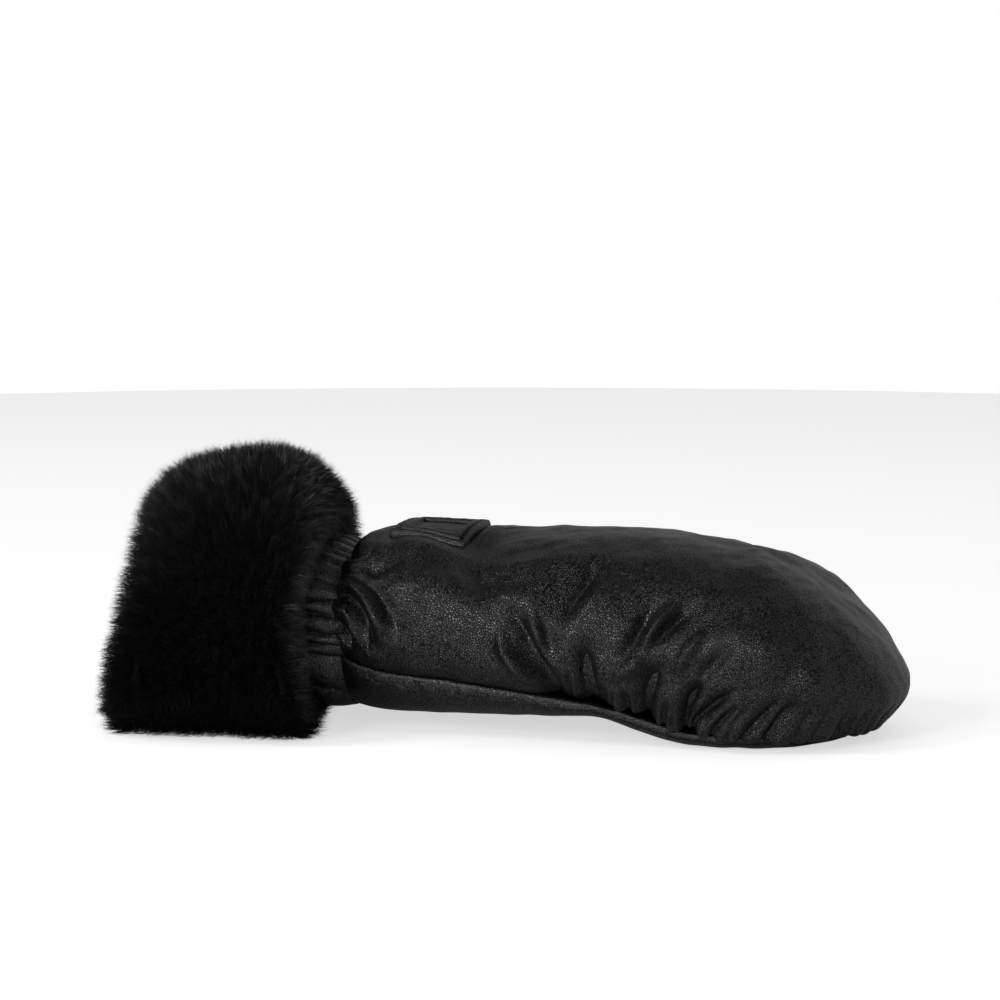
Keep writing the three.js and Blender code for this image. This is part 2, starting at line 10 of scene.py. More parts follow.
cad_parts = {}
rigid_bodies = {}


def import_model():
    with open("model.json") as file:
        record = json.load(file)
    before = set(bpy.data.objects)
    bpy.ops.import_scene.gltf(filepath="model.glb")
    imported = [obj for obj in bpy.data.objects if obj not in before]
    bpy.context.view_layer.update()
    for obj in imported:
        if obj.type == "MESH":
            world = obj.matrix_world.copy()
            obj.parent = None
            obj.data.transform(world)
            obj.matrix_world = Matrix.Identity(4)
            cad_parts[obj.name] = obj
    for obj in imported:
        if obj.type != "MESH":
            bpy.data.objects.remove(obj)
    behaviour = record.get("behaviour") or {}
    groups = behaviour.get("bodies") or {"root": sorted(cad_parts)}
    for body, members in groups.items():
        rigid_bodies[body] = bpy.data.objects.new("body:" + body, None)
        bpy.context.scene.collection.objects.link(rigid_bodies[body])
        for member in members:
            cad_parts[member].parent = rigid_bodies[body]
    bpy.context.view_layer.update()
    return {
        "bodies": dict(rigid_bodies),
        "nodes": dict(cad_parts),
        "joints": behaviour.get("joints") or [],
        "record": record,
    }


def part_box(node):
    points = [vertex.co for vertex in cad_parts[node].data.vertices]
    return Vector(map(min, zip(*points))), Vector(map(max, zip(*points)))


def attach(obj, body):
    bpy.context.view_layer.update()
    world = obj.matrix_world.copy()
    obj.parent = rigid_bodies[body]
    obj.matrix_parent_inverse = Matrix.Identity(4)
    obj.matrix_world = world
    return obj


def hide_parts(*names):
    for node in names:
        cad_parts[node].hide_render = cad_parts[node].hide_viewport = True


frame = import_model()


# The studio
# A white floor with low soft boxes in front and to the left and a faint one to the right, in a grey world
# that is brightest behind the mitten. One more soft box, overhead, lights the floor alone.

# The point on the floor that every size below is measured from, in millimetres: +X to the fingertips,
# +Y to the thumb, +Z up
badge_low, badge_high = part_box("badge")
BADGE_MIDDLE = Vector((-35, -3))
ZERO = Vector((*((badge_low + badge_high).xy / 2 - BADGE_MIDDLE / 1000), 0))

# The camera stands low, on the little finger's side
CAMERA_TURN, CAMERA_RISE, CAMERA_AWAY = math.radians(15), math.radians(7), 1.5
PICTURE, PIXELS_PER_METRE, SENSOR = 1000, 2700, 36
ZERO_PIXEL = Vector((534, 720))

WORLD = {"brightest": (0.45, 0.89, 0), "begins": 0.15, "low": 0.04, "high": 0.52}
FLOOR = {"radius": 1.3, "sides": 96, "grey": 0.6, "glow": 0.62}
AIM = (0, 0, 0.03)
# Each soft box: its name, place, side and power
SOFT_BOXES = [
    ("front_low", (-0.45, -1.45, 0.5), 0.5, 10),
    ("front_middle", (0.4, -1.4, 0.5), 0.6, 4.2),
    ("right_low", (0.9, -1.2, 0.5), 0.5, 1),
    ("left_high", (-1.0, -0.8, 1.0), 0.5, 8),
]


def put_in(name, data):
    """A new object in the scene."""
    made = bpy.data.objects.new(name, data)
    bpy.context.scene.collection.objects.link(made)
    return made


def add(nodes, kind, inputs=None, **settings):
    """A new shader node, with its settings and the inputs that are given by name or number."""
    node = nodes.new("ShaderNode" + kind)
    for name, value in settings.items():
        setattr(node, name, value)
    for name, value in (inputs or {}).items():
        node.inputs[name].default_value = value
    return node


def wire(*pairs):
    for start, end in pairs:
        start.id_data.links.new(start, end)


def with_nodes(made):
    """A new world or material and its nodes."""
    made.use_nodes = True
    return made, made.node_tree.nodes


def make_camera():
    right = Vector((math.cos(CAMERA_TURN), math.sin(CAMERA_TURN), 0))
    towards = Vector((
        math.sin(CAMERA_TURN) * math.cos(CAMERA_RISE),
        -math.cos(CAMERA_TURN) * math.cos(CAMERA_RISE),
        math.sin(CAMERA_RISE),
    ))
    up = towards.cross(right)
    across, down = PICTURE / 2 - ZERO_PIXEL.x, ZERO_PIXEL.y - PICTURE / 2
    aim = ZERO + right * across / PIXELS_PER_METRE + up * down / PIXELS_PER_METRE
    camera = put_in("camera", bpy.data.cameras.new("camera"))
    camera.data.sensor_width = SENSOR
    camera.data.lens = SENSOR * PIXELS_PER_METRE * CAMERA_AWAY / PICTURE
    camera.data.clip_start, camera.data.clip_end = 0.05, 50
    turn = Matrix((right, up, towards)).transposed().to_4x4()
    camera.matrix_world = Matrix.Translation(aim + towards * CAMERA_AWAY) @ turn
    bpy.context.scene.camera = camera


def soft_box(name, place, aim, side, power):
    light = put_in(name, bpy.data.lights.new(name, "AREA"))
    light.data.shape, light.data.size, light.data.energy = "SQUARE", side, power
    light.location = place
    light.rotation_euler = (Vector(place) - Vector(aim)).to_track_quat("Z", "Y").to_euler()
    return light


def make_world():
    world, nodes = with_nodes(bpy.data.worlds.new("studio"))
    nodes.clear()
    place, path = add(nodes, "TexCoord"), add(nodes, "LightPath")
    along = add(nodes, "VectorMath", {1: WORLD["brightest"]}, operation="DOT_PRODUCT")
    spread = {"From Min": WORLD["begins"], "From Max": 1, "To Min": WORLD["low"], "To Max": WORLD["high"]}
    grey = add(nodes, "MapRange", spread)
    dim, bright = add(nodes, "Background"), add(nodes, "Background", {"Color": (1, 1, 1, 1)})
    mix, out = add(nodes, "MixShader"), add(nodes, "OutputWorld")
    wire((place.outputs["Generated"], along.inputs[0]), (along.outputs["Value"], grey.inputs["Value"]))
    wire((grey.outputs[0], dim.inputs["Color"]), (path.outputs["Is Camera Ray"], mix.inputs[0]))
    wire((dim.outputs[0], mix.inputs[1]), (bright.outputs[0], mix.inputs[2]))
    wire((mix.outputs[0], out.inputs[0]))
    bpy.context.scene.world = world


def make_floor():
    material, nodes = with_nodes(bpy.data.materials.new("white_floor"))
    nodes.clear()
    paper, glow = add(nodes, "BsdfDiffuse", {"Color": (*[FLOOR["grey"]] * 3, 1)}), add(nodes, "Emission")
    path, amount = add(nodes, "LightPath"), add(nodes, "MapRange", {"To Min": 0, "To Max": FLOOR["glow"]})
    both, out = add(nodes, "AddShader"), add(nodes, "OutputMaterial")
    wire((path.outputs["Is Camera Ray"], amount.inputs["Value"]))
    wire((amount.outputs[0], glow.inputs["Strength"]))
    wire((paper.outputs[0], both.inputs[0]), (glow.outputs[0], both.inputs[1]))
    wire((both.outputs[0], out.inputs[0]))
    turns = np.linspace(0, 2 * math.pi, FLOOR["sides"], endpoint=False)
    mesh = bpy.data.meshes.new("floor")
    rim = [(FLOOR["radius"] * math.cos(a), FLOOR["radius"] * math.sin(a), 0) for a in turns]
    mesh.from_pydata(rim, [], [list(range(FLOOR["sides"]))])
    mesh.materials.append(material)
    floor = put_in("floor", mesh)
    return floor


make_camera()
make_world()
lit_floor = bpy.data.collections.new("lit_floor")
lit_floor.objects.link(make_floor())
for box, place, side, power in SOFT_BOXES:
    soft_box(box, place, AIM, side, power)
overhead = soft_box("overhead", (0, 0, 1.6), (0, 0, 0), 2.6, 12)
overhead.light_linking.receiver_collection = lit_floor
bpy.context.scene.view_settings.view_transform = "Standard"


# Back of the hand
# One panel of padded black leather, cut larger than the palm and eased on to it in gathers round the
# fingers, so that it stands over the seam like a pillow. The wrist elastic pulls long folds into it.

HAND = {
    "x": [-64, -57, -46, -20, 18, 36, 52, 66, 81],
    "top": [62, 69, 71, 71, 72.5, 72.5, 71.5, 70, 67],
    "waist": [38, 38, 37.5, 37, 35.5, 33.5, 31, 29, 27],
    "near": [43, 46, 49.5, 53, 56, 56, 56, 56, 56],
    "far": [43, 45, 47, 49, 50, 51, 52, 53, 54],
    "seam": [37, 39, 41, 44, 45, 45, 44.5, 44, 43],
    "seam_height": [27.6, 25.2, 23, 21.3, 17.2, 14.8, 11.2, 7.3, 5.9],
    "far_seam_height": [24, 21.5, 19, 16.4, 13.4, 12.6, 9.5, 6.6, 5.6],
    "palm": [8.5, 7.7, 7.2, 7.8, 8.8, 9, 3.8, 0.8, 0],
    "slant": [0.15, 0.12, 0.06, 0, 0, 0, 0, 0, 0],
}
TIP = {"waist": 20, "reach": 58.5, "seam": 41, "seam_height": 5, "arch": 1.45}
SIDE_ARCH = 2.2
WRIST, FAN, WRIST_MIDDLE = -64, 81, 38
SIDE_LENGTH, HALF_FAN = FAN - WRIST, 43 * math.pi / 2
SEAM_LENGTH = 2 * (SIDE_LENGTH + HALF_FAN)
PRESSED = {"x": -19, "y": -26, "depth": 5, "radius": 17}
# The wall inside, and what it has to spare behind the deepest folds
WALL, WALL_SPARE = 3, 1.4
# The wrist edge is tucked in by this much, and the leather toward it dips by this much
WRIST_TUCK, WRIST_DIP = 0.7, 0.3
# Where the wrist's ruffles cross on to this panel, in degrees up from the seam
RUFFLES = [82, 69, 56, 46, 37, 24, 8, -16, -40, -76]


def read(table, name, x, along="x"):
    """One column of a table as a smooth curve through its rows."""
    at, value = np.array(table[along], float), np.array(table[name], float)
    last = len(at) - 1
    before, after = np.maximum(np.arange(last + 1) - 1, 0), np.minimum(np.arange(last + 1) + 1, last)
    slope = (value[after] - value[before]) / (at[after] - at[before])
    i = np.clip(np.searchsorted(at, x, side="right") - 1, 0, last - 1)
    span, rise = at[i + 1] - at[i], value[i + 1] - value[i]
    t = np.clip((x - at[i]) / span, 0, 1)
    start, end = slope[i] * span - rise, slope[i + 1] * span - rise
    return value[i] + rise * t + t * (1 - t) * (start * (1 - t) - end * t)


def smoothstep(x, low, high):
    t = np.clip((x - low) / (high - low), 0, 1)
    return t * t * (3 - 2 * t)


def swell(x, middle, reach):
    """1 at the middle, dying away softly past the reach on both sides."""
    return np.exp(-(((x - middle) / reach) ** 2))


def station(s):
    """The hand's section at s millimetres along the seam, from the near wrist round to the far wrist."""
    from_wrist, far = np.minimum(s, SEAM_LENGTH - s), s > SEAM_LENGTH / 2
    x = np.minimum(WRIST + from_wrist, FAN)
    turn = np.maximum(from_wrist - SIDE_LENGTH, 0) / HALF_FAN
    tip = np.sin(turn * math.pi / 2) ** 2
    angle = np.where(far, 1, -1) * (1 - turn) * math.pi / 2
    at = {name: read(HAND, name, x) for name in HAND if name != "x"}
    at |= {"x": x, "along": np.cos(angle), "across": np.sin(angle), "palm": np.maximum(at["palm"], 0)}
    at |= {"reach": np.where(far, at["far"], at["near"]), "arch": SIDE_ARCH + 0 * x}
    at["seam_height"] = np.where(far, at["far_seam_height"], at["seam_height"])
    return at | {name: at[name] + (end - at[name]) * tip for name, end in TIP.items()}


def placed(at, r, z):
    """The point of a section at r out from the hand's middle line and z up."""
    slant = at["slant"] * (z - WRIST_MIDDLE)
    return np.stack([at["x"] + at["along"] * r - slant, at["across"] * r, z + 0 * r], -1)


def dent(x, y):
    """Depth of the one soft dent in the back, beside the badge."""
    across, along = (swell(v, PRESSED[axis], PRESSED["radius"]) for v, axis in ((y, "y"), (x, "x")))
    return PRESSED["depth"] * along * across


def smooth_back(s, beta):
    """A point of the panel without its folds: beta is -90 degrees at the seam and 90 at the crown."""
    s, beta = np.broadcast_arrays(np.asarray(s, float), np.radians(np.asarray(beta, float)))
    at, c, v = station(s), np.maximum(np.cos(beta), 0), np.sin(beta)
    up, power = np.maximum(v, 0), 2 / at["arch"]
    under = at["seam"] + (at["reach"] - at["seam"]) * c, at["waist"] + (at["waist"] - at["seam_height"]) * v
    over = at["reach"] * c ** power, at["waist"] + (at["top"] - at["waist"]) * up ** power
    point = placed(at, np.where(beta < 0, under[0], over[0]), np.where(beta < 0, under[1], over[1]))
    point[..., 2] -= dent(point[..., 0], point[..., 1]) * up
    return point


def grid_faces(rows, columns, close_rows=False, close_columns=False, start=0):
    i = np.arange(rows if close_rows else rows - 1)[:, None]
    j = np.arange(columns if close_columns else columns - 1)[None, :]
    low, high, ahead = i * columns, (i + 1) % rows * columns, (j + 1) % columns
    return np.stack([low + j, high + j, high + ahead, low + ahead], -1).reshape(-1, 4) + start


def outward(points, faces):
    """Unit normals at the points of a mesh of quads or triangles."""
    a, b, c = (points[faces[:, k]] for k in (0, 1, 2))
    d = points[faces[:, -1]]
    face = np.cross(c - a, d - b) if faces.shape[1] == 4 else np.cross(b - a, c - a)
    total = np.zeros_like(points)
    for k in range(faces.shape[1]):
        np.add.at(total, faces[:, k], face)
    return total / np.maximum(np.linalg.norm(total, axis=1, keepdims=True), 1e-9)


def welded(points, faces):
    """The mesh with its coinciding points joined and its collapsed corners dropped, as triangles."""
    _, first, same = np.unique(np.round(points, 3), axis=0, return_index=True, return_inverse=True)
    faces = same.reshape(-1)[faces]
    tris = np.concatenate([faces[:, [0, 1, 2]], faces[:, [0, 2, 3]]]) if faces.shape[1] == 4 else faces
    sound = (tris[:, 0] != tris[:, 1]) & (tris[:, 1] != tris[:, 2]) & (tris[:, 2] != tris[:, 0])
    return points[first], tris[sound], same.reshape(-1)


def at_points(same, values):
    """Values at a grid's corners, taken over to the welded mesh's points."""
    made = np.zeros(same.max() + 1)
    made[same] = values
    return made


def path_through(stops, steps=10):
    """A smooth line through the stops, each any row of numbers."""
    stops = np.asarray(stops, float)
    ends = np.concatenate([[2 * stops[0] - stops[1]], stops, [2 * stops[-1] - stops[-2]]])
    t = np.linspace(0, 1, steps, endpoint=False)[:, None]
    made = []
    for a, b, c, d in zip(ends, ends[1:], ends[2:], ends[3:]):
        bend, twist = 2 * a - 5 * b + 4 * c - d, 3 * b - a - 3 * c + d
        made.append(b + t * (c - a) / 2 + t**2 * bend / 2 + t**3 * twist / 2)
    return np.concatenate([*made, stops[-1:]])


def to_path(points, path):
    """How far each point is from the path, and how far along the path that is, from 0 to 1."""
    best, along = np.full(len(points), 1e9), np.zeros(len(points))
    lengths = np.linalg.norm(np.diff(path, axis=0), axis=1)
    gone, total = 0.0, lengths.sum()
    for a, b, length in zip(path, path[1:], lengths):
        t = np.clip((points - a) @ (b - a) / max(length**2, 1e-9), 0, 1)
        away = np.linalg.norm(points - a - t[:, None] * (b - a), axis=1)
        nearer = away < best
        best, along = np.where(nearer, away, best), np.where(nearer, (gone + t * length) / total, along)
        gone += length
    return best, along


# A fold fades over this share of its line. One that the elastic pulls in starts at this strength and is
# whole after this share. The edge of a sink is softer or sharper by this power.
FADE, PULLED_START, PULLED_SHARE = 0.45, 0.45, 0.2
SOFT_SINK, SHARP_SINK = 1.8, 1.3


def close_to(points, low, high, margin):
    """Which points lie in the box from low to high or within the margin of it."""
    return np.flatnonzero(np.all((points > low - margin) & (points < high + margin), 1))


def folded(points, folds, surface):
    """How far the folds lift each point: (height, width, how it ends, [(s, beta), ...]) for each fold.
    Ridges are round. Sinks are sharp, and where folds meet the deeper one wins, so that the leather
    stands in lobes between them."""
    raised, sunk = np.zeros((2, len(points)))
    for height, width, ends, line in folds:
        path = surface(*path_through(line).T)
        close = close_to(points, path.min(0), path.max(0), 4 * width)
        away, along = to_path(points[close], path)
        power = 2 if height > 0 else SOFT_SINK if ends == "faded" else SHARP_SINK
        shape = np.exp(-((away / width) ** power))
        strength = smoothstep(along, 0, FADE)
        if ends == "pulled":
            strength = PULLED_START + (1 - PULLED_START) * smoothstep(along, 0, PULLED_SHARE)
        if ends != "sewn":
            strength = strength * smoothstep(1 - along, 0, FADE)
        (raised if height > 0 else sunk)[close] += np.abs(height * shape * strength) ** 3
    return np.cbrt(raised) - np.cbrt(sunk)


def ripple(points, wavelength, seed, waves=14):
    """Soft random unevenness of the padding, about from -1 to 1."""
    chance = np.random.default_rng(seed)
    ways = chance.normal(size=(waves, 3))
    steps = (2 * math.pi / wavelength) * chance.uniform(0.7, 1.4, (waves, 1))
    ways *= steps / np.linalg.norm(ways, axis=1)[:, None]
    return np.sin(points @ ways.T + chance.uniform(0, 2 * math.pi, waves)).sum(1) / 5


# Each fold: height, width, ends, and its stops as (along the seam, up from the seam in degrees).
# "pulled" folds start full at the wrist, "sewn" ones end full at the palm seam.
WRIST_FOLDS = [
    (-2.6, 2.6, "pulled", [(0, 69), (6.4, 53.5), (11.1, 56), (15.4, 65)]),
    (1.5, 2.8, "pulled", [(0, 60), (3.9, 53), (9.1, 46), (13.6, 45)]),
    (-2, 4.2, "faded", [(8.6, 45), (15.4, 40), (21.6, 38)]),
    (-2.8, 3.0, "pulled", [(4, 37), (11, 32), (16.6, 25), (20.6, 17.5), (23.8, 9), (25.8, 2), (26, -18)]),
    (3.2, 3.3, "pulled", [(3.6, 32), (11, 25), (16.4, 16), (19.8, 6), (21, -8), (21, -32)]),
    (-3.2, 2.3, "pulled", [(0, 26), (7, 22.8), (11.4, 13), (13.6, 3.5), (14.4, -15), (15, -32)]),
    (2.4, 2.3, "pulled", [(0, 16), (5.9, 11.8), (9, 2), (10.2, -13), (10.8, -30)]),
    (-2.6, 1.9, "pulled", [(0, 8), (3.4, -2), (5.1, -15.5), (6.1, -33.2), (7, -48)]),
    (1.6, 1.8, "pulled", [(0, -6), (2.6, -20), (3.6, -40)]),
    (-1.9, 1.6, "pulled", [(0, -16), (1.6, -30), (2.4, -52)]),
]
SIDE_FOLDS = [
    (2.2, 8.0, "faded", [(24, 46), (36, 34), (49, 20), (58, 12)]),
    (2.7, 9.0, "faded", [(14, 66), (28, 62), (44, 58), (56, 52)]),
    (-2.4, 5.5, "faded", [(42.5, 64), (52.8, 44), (61, 32), (71, 24)]),
    (2, 4.0, "faded", [(61, 34), (67.3, 26), (72, 19)]),
    (4.0, 2.7, "faded", [(63.5, 12), (65.6, 4.5), (68.8, -10.2), (73.8, -27.5), (79.1, -41), (81.5, -60)]),
    (-4.6, 3.4, "sewn",
     [(65, 28), (69.1, 18.8), (74.1, 8.5), (79.1, -6.5), (83.1, -36.8), (84.6, -63.8), (85.2, -85)]),
    (2.6, 2.9, "faded", [(73.5, 27), (76, 17), (79, 5), (81.6, -8), (84.5, -29), (85.6, -55)]),
    (-1.7, 3.0, "faded", [(79, 26), (82.6, 8), (85.2, -8), (87, -30)]),
    (-3.8, 3.4, "faded", [(97, 58), (94.6, 42), (90.8, 27), (86.8, 13.8), (84.4, 6)]),
    (-2.2, 5.5, "faded", [(93, 52), (90.4, 38), (86.8, 25), (83, 13), (81, 5)]),
    (1.6, 6.5, "faded", [(106, 46), (103, 34), (98, 19), (93, 10), (89.6, -2)]),
    (-5.4, 3.8, "sewn", [(96, 12), (96.6, 2), (97, -14), (97.4, -34), (97.6, -58), (98, -85)]),
    (1.6, 3.4, "faded", [(101.4, 6), (101.8, -10), (101.8, -30), (101.2, -52)]),
    (2.4, 3.0, "faded", [(121, 8), (115.1, 0.2), (109.8, -10), (104.6, -20.2)]),
    (-3.2, 2.8, "faded", [(124, 40), (118.5, 25), (115.3, 13), (110.6, 2), (105.5, -8)]),
    (2.4, 2.6, "faded", [(130.5, 36), (123.6, 22), (119.1, 12), (114.5, 2)]),
    (-2.7, 2.6, "faded", [(136.5, 40), (129.8, 26), (123.8, 15), (118.4, 5)]),
    (2.2, 2.4, "faded", [(143, 26), (136, 13.6), (130.9, 3), (127.8, -9)]),
    (-2.2, 2.6, "faded", [(151, 20), (144.1, 8), (138.8, -1), (134.6, -14)]),
    (2.7, 9.0, "faded", [(138, 27), (146, 19), (153.9, 15), (161.1, 8), (167, -9)]),
    (1.8, 8.0, "faded", [(160, 8), (168, 2), (174, -10), (178, -24)]),
    (-1.3, 7.0, "faded", [(173, 20), (178.1, 12.5), (188.6, 8), (197, -4)]),
    (0.7, 5.0, "faded", [(179, 18), (181.4, 4), (182.6, -18)]),
]
SEAM_PLEATS = [
    (1.2, 6.5, "faded", [(80, -48), (110, -52), (150, -52), (200, -52), (228, -48)]),
    (-2.2, 1.6, "sewn", [(91.1, -10), (90.8, -24), (90.1, -48), (89.9, -85)]),
    (-2.6, 1.8, "sewn", [(103.1, -24), (102.7, -38), (102.1, -63), (101.9, -85)]),
    (-1.8, 1.3, "sewn", [(106.1, -28), (105.6, -38), (104.8, -58), (104.5, -85)]),
    (-3.1, 1.9, "sewn", [(110.5, -24), (110.8, -39), (111.1, -65), (111.3, -85)]),
    (-1.8, 1.3, "sewn", [(115.9, -26), (115.3, -36), (114.1, -59), (113.8, -85)]),
    (-5.0, 3.4, "sewn",
     [(127.1, 8), (124.9, 2), (122.6, -3.2), (120.4, -18), (118.7, -38), (117.6, -58), (117.3, -85)]),
    (-1.8, 1.4, "sewn", [(122.1, -16), (121.4, -34), (120.6, -56), (120.3, -85)]),
    (-2.8, 1.8, "sewn", [(126.9, -20), (125.7, -34), (124.1, -56), (123.5, -85)]),
    (-1.7, 1.3, "sewn", [(129.5, -22), (128.7, -34), (127.9, -52), (127.5, -85)]),
    (-4.6, 2.4, "sewn", [(142, 3), (139.6, -2), (135.6, -20), (133.3, -36), (131.9, -53), (131.3, -85)]),
    (-1.8, 1.4, "sewn", [(142.3, -24), (140.9, -36), (139.1, -53), (138.5, -85)]),
    (-4.6, 2.3, "sewn", [(152.1, -2), (148.9, -11), (143.4, -28), (138.7, -41), (134.9, -54), (133.9, -85)]),
    (-3.3, 2.0, "sewn", [(152.7, -20), (148.9, -31), (144.9, -46), (141.6, -59), (140.1, -85)]),
    (-1.5, 1.4, "sewn", [(155.5, -20), (151.9, -32), (147.9, -52), (146.5, -85)]),
    (-3.2, 2.2, "sewn", [(164.3, -10), (161.6, -18), (157.9, -36), (151.3, -63), (149.9, -85)]),
    (-3.2, 2.2, "sewn", [(169.1, -8), (166.5, -18), (162.1, -41), (157.9, -66), (156.5, -85)]),
    (-1, 1.6, "sewn", [(174.1, -10), (171.5, -20), (168.1, -53), (166.5, -85)]),
    (-1.2, 1.8, "sewn", [(178.9, -18), (176.1, -29), (172.4, -63), (171.5, -85)]),
    (-1.5, 1.9, "sewn", [(185.9, -18), (182.9, -36), (180.4, -76), (180.1, -85)]),
    (-0.9, 1.4, "sewn", [(188.1, -22), (185.9, -32), (184.1, -70), (183.7, -85)]),
    (-1.4, 1.9, "sewn", [(193.5, -16), (190.1, -34), (188.4, -72), (188.1, -85)]),
    (-1, 1.5, "sewn", [(197.5, -20), (194.9, -32), (193.7, -68), (193.5, -85)]),
    (-1.4, 1.9, "sewn", [(205.9, -18), (201.7, -37), (199.2, -70), (198.5, -85)]),
    (-1.2, 1.8, "sewn", [(216.5, -22), (213.2, -37), (208.5, -59), (206.9, -85)]),
]


def hidden_pleats():
    """The same gathers on round the fingertip and back along the thumb side."""
    first, turned, straighter, last = 212.0, 235, SEAM_LENGTH - 150, SEAM_LENGTH - 88
    chance, pleats, s = np.random.default_rng(11), [], first
    while s < last:
        lean, top = chance.uniform(2, 8) * (1 if s < turned else -1), chance.uniform(-30, 2)
        if s > straighter:
            lean *= 0.5
        stops = [(s - lean, top), (s - 0.5 * lean, top / 2 - 25), (s - 0.15 * lean, -58), (s, -85)]
        pleats.append((-chance.uniform(0.8, 2.0), chance.uniform(1.2, 2.0), "sewn", stops))
        s += chance.uniform(4.2, 8.4)
    return pleats


def from_side(side, stops):
    """Stops measured from the near wrist (0) or from the far wrist (1)."""
    return [(abs(side * SEAM_LENGTH - s), b) for s, b in stops]


def hidden_wrist_folds():
    """What the elastic pulls into the thumb side of the wrist, and the fine creases all round it."""
    chance, folds = np.random.default_rng(5), []
    for beta in np.arange(-70, 76, 9.0):
        reach, turn = chance.uniform(10, 26), chance.uniform(-14, 6)
        start = beta + chance.uniform(-3, 3)
        stops = from_side(1, [(0, start), (reach * 0.5, start + turn * 0.4), (reach, start + turn)])
        folds.append((-chance.uniform(1.0, 2.0), chance.uniform(1.2, 2.2), "pulled", stops))
    for side, share in ((0, 0.6), (1, 1)):
        for start in RUFFLES:
            reach = chance.uniform(4, 9)
            middle, end = start - chance.uniform(0, 3), start - chance.uniform(1, 7)
            stops = from_side(side, [(0, start), (reach / 2, middle), (reach, end)])
            folds.append((-chance.uniform(1.0, 1.7) * share, 1.5, "pulled", stops))
    return folds


# Rows along the near side, along the far side, round the fingertips, and up to and over the widest line
BACK_STEPS = {"near": 232, "far": 145, "fan": 220, "under": 45, "over": 73}
FOLD_GAIN = 1.25
# The padding's unevenness: height, wavelength and seed
PADDING = ((0.5, 22, 1), (0.16, 8, 2))
# Where the badge holds the crown flat
CALM = {"s": 36, "length": 26, "beta": 82, "width": 14, "share": 0.7}
TIP_BEGINS, TIP_WHOLE = 150, 185
# Toward the seam the gathers are held down, bulge over it from the knuckles on and hang down to it
HELD = {"from": 70, "to": 89, "share": 0.4}
BULGE = {"from": 110, "to": 160, "beta": -66, "width": 14, "height": 1.2}
HANG = {"from": 88, "to": 130, "beta": -62, "width": 18, "drop": 3.0}


def back_panel_rows():
    near, far = (np.linspace(0, SIDE_LENGTH, BACK_STEPS[side])[:-1] for side in ("near", "far"))
    fan = np.linspace(SIDE_LENGTH, SEAM_LENGTH - SIDE_LENGTH, BACK_STEPS["fan"])
    s = np.concatenate([near, fan, SEAM_LENGTH - far[::-1]])
    under, over = np.linspace(-90, 0, BACK_STEPS["under"])[:-1], np.linspace(0, 90, BACK_STEPS["over"])
    return s, np.concatenate([under, over])


def back_panel_points():
    """The panel's outer face as a mesh, and its smooth face with the normals there."""
    s, beta = back_panel_rows()
    faces = grid_faces(len(s), len(beta))
    S, B = (v.ravel() for v in np.meshgrid(s, beta, indexing="ij"))
    smooth, tris, same = welded(smooth_back(S, B), faces)
    S_at, B_at, normal = at_points(same, S), at_points(same, B), outward(smooth, tris)
    from_wrist = np.minimum(S_at, SEAM_LENGTH - S_at)
    at_tip = smoothstep(from_wrist, TIP_BEGINS, TIP_WHOLE)

    folds = WRIST_FOLDS + SIDE_FOLDS + SEAM_PLEATS + hidden_pleats() + hidden_wrist_folds()
    lift = FOLD_GAIN * folded(smooth, folds, smooth_back)
    under_badge = swell(S_at, CALM["s"], CALM["length"]) * swell(B_at, CALM["beta"], CALM["width"])
    uneven = sum(height * ripple(smooth, wavelength, seed) for height, wavelength, seed in PADDING)
    lift += uneven * (1 - CALM["share"] * under_badge) * smoothstep(B_at, -90, -40)
    lift -= WRIST_TUCK * swell(from_wrist, 0, 1.6)
    held = smoothstep(-B_at, HELD["from"] - 12 * at_tip, HELD["to"])
    lift *= 1 - (HELD["share"] + 0.3 * at_tip) * held
    lift += BULGE["height"] * smoothstep(from_wrist, BULGE["from"], BULGE["to"]) * swell(
        B_at, BULGE["beta"], BULGE["width"])
    lift -= WRIST_DIP * (1 - smoothstep(from_wrist, 0, 5)) * smoothstep(B_at, -60, -30)
    made = smooth + normal * lift[:, None]
    drop = (HANG["drop"] - 1.6 * at_tip) * smoothstep(from_wrist, HANG["from"], HANG["to"])
    made[:, 2] -= drop * swell(B_at, HANG["beta"], HANG["width"])
    made[:, 2] = np.maximum(made[:, 2], 0.4)
    return made, tris, same, smooth, normal


# The folds that the badge pushes up beside it, with their stops as x and y
TOP_FOLDS = [
    (1.7, 3.2, "faded", [(-22, -25), (-17.5, -12), (-16, 3), (-18, 17)]),
    (-1.0, 1.6, "faded", [(-23, -20), (-20.4, -6), (-19.6, 12)]),
    (0.7, 5.0, "faded", [(-56, -20), (-52, -6), (-54, 12)]),
]


def over_back(x, y):
    """The smooth back straight above x, y."""
    at = {name: read(HAND, name, x) for name in ("top", "waist", "near", "far")}
    half = np.where(y < 0, at["near"], at["far"])
    rise = (1 - np.minimum(np.abs(y / half), 1) ** SIDE_ARCH) ** (1 / SIDE_ARCH)
    return np.stack([x, y, at["waist"] + (at["top"] - at["waist"] - dent(x, y)) * rise], -1)


# The grain: its own waviness, how far that pushes the pebbles, the fine tooth on them, and the patches
GRAIN_WAVES, GRAIN_PUSH, FINE, FINE_HEIGHT, PATCHES = 900, 0.0005, 2600, 0.35, 55
PEBBLE_ROUND = 0.32
# Painted shade in the grain's creases: what is left of the shine there, and the darker crease colour below
CREASE_SHADE_SHINE = 0.18
BLACK, BLACK_CREASE_SHADE = (0.0055, 0.0056, 0.0061), (0.002, 0.002, 0.0022)


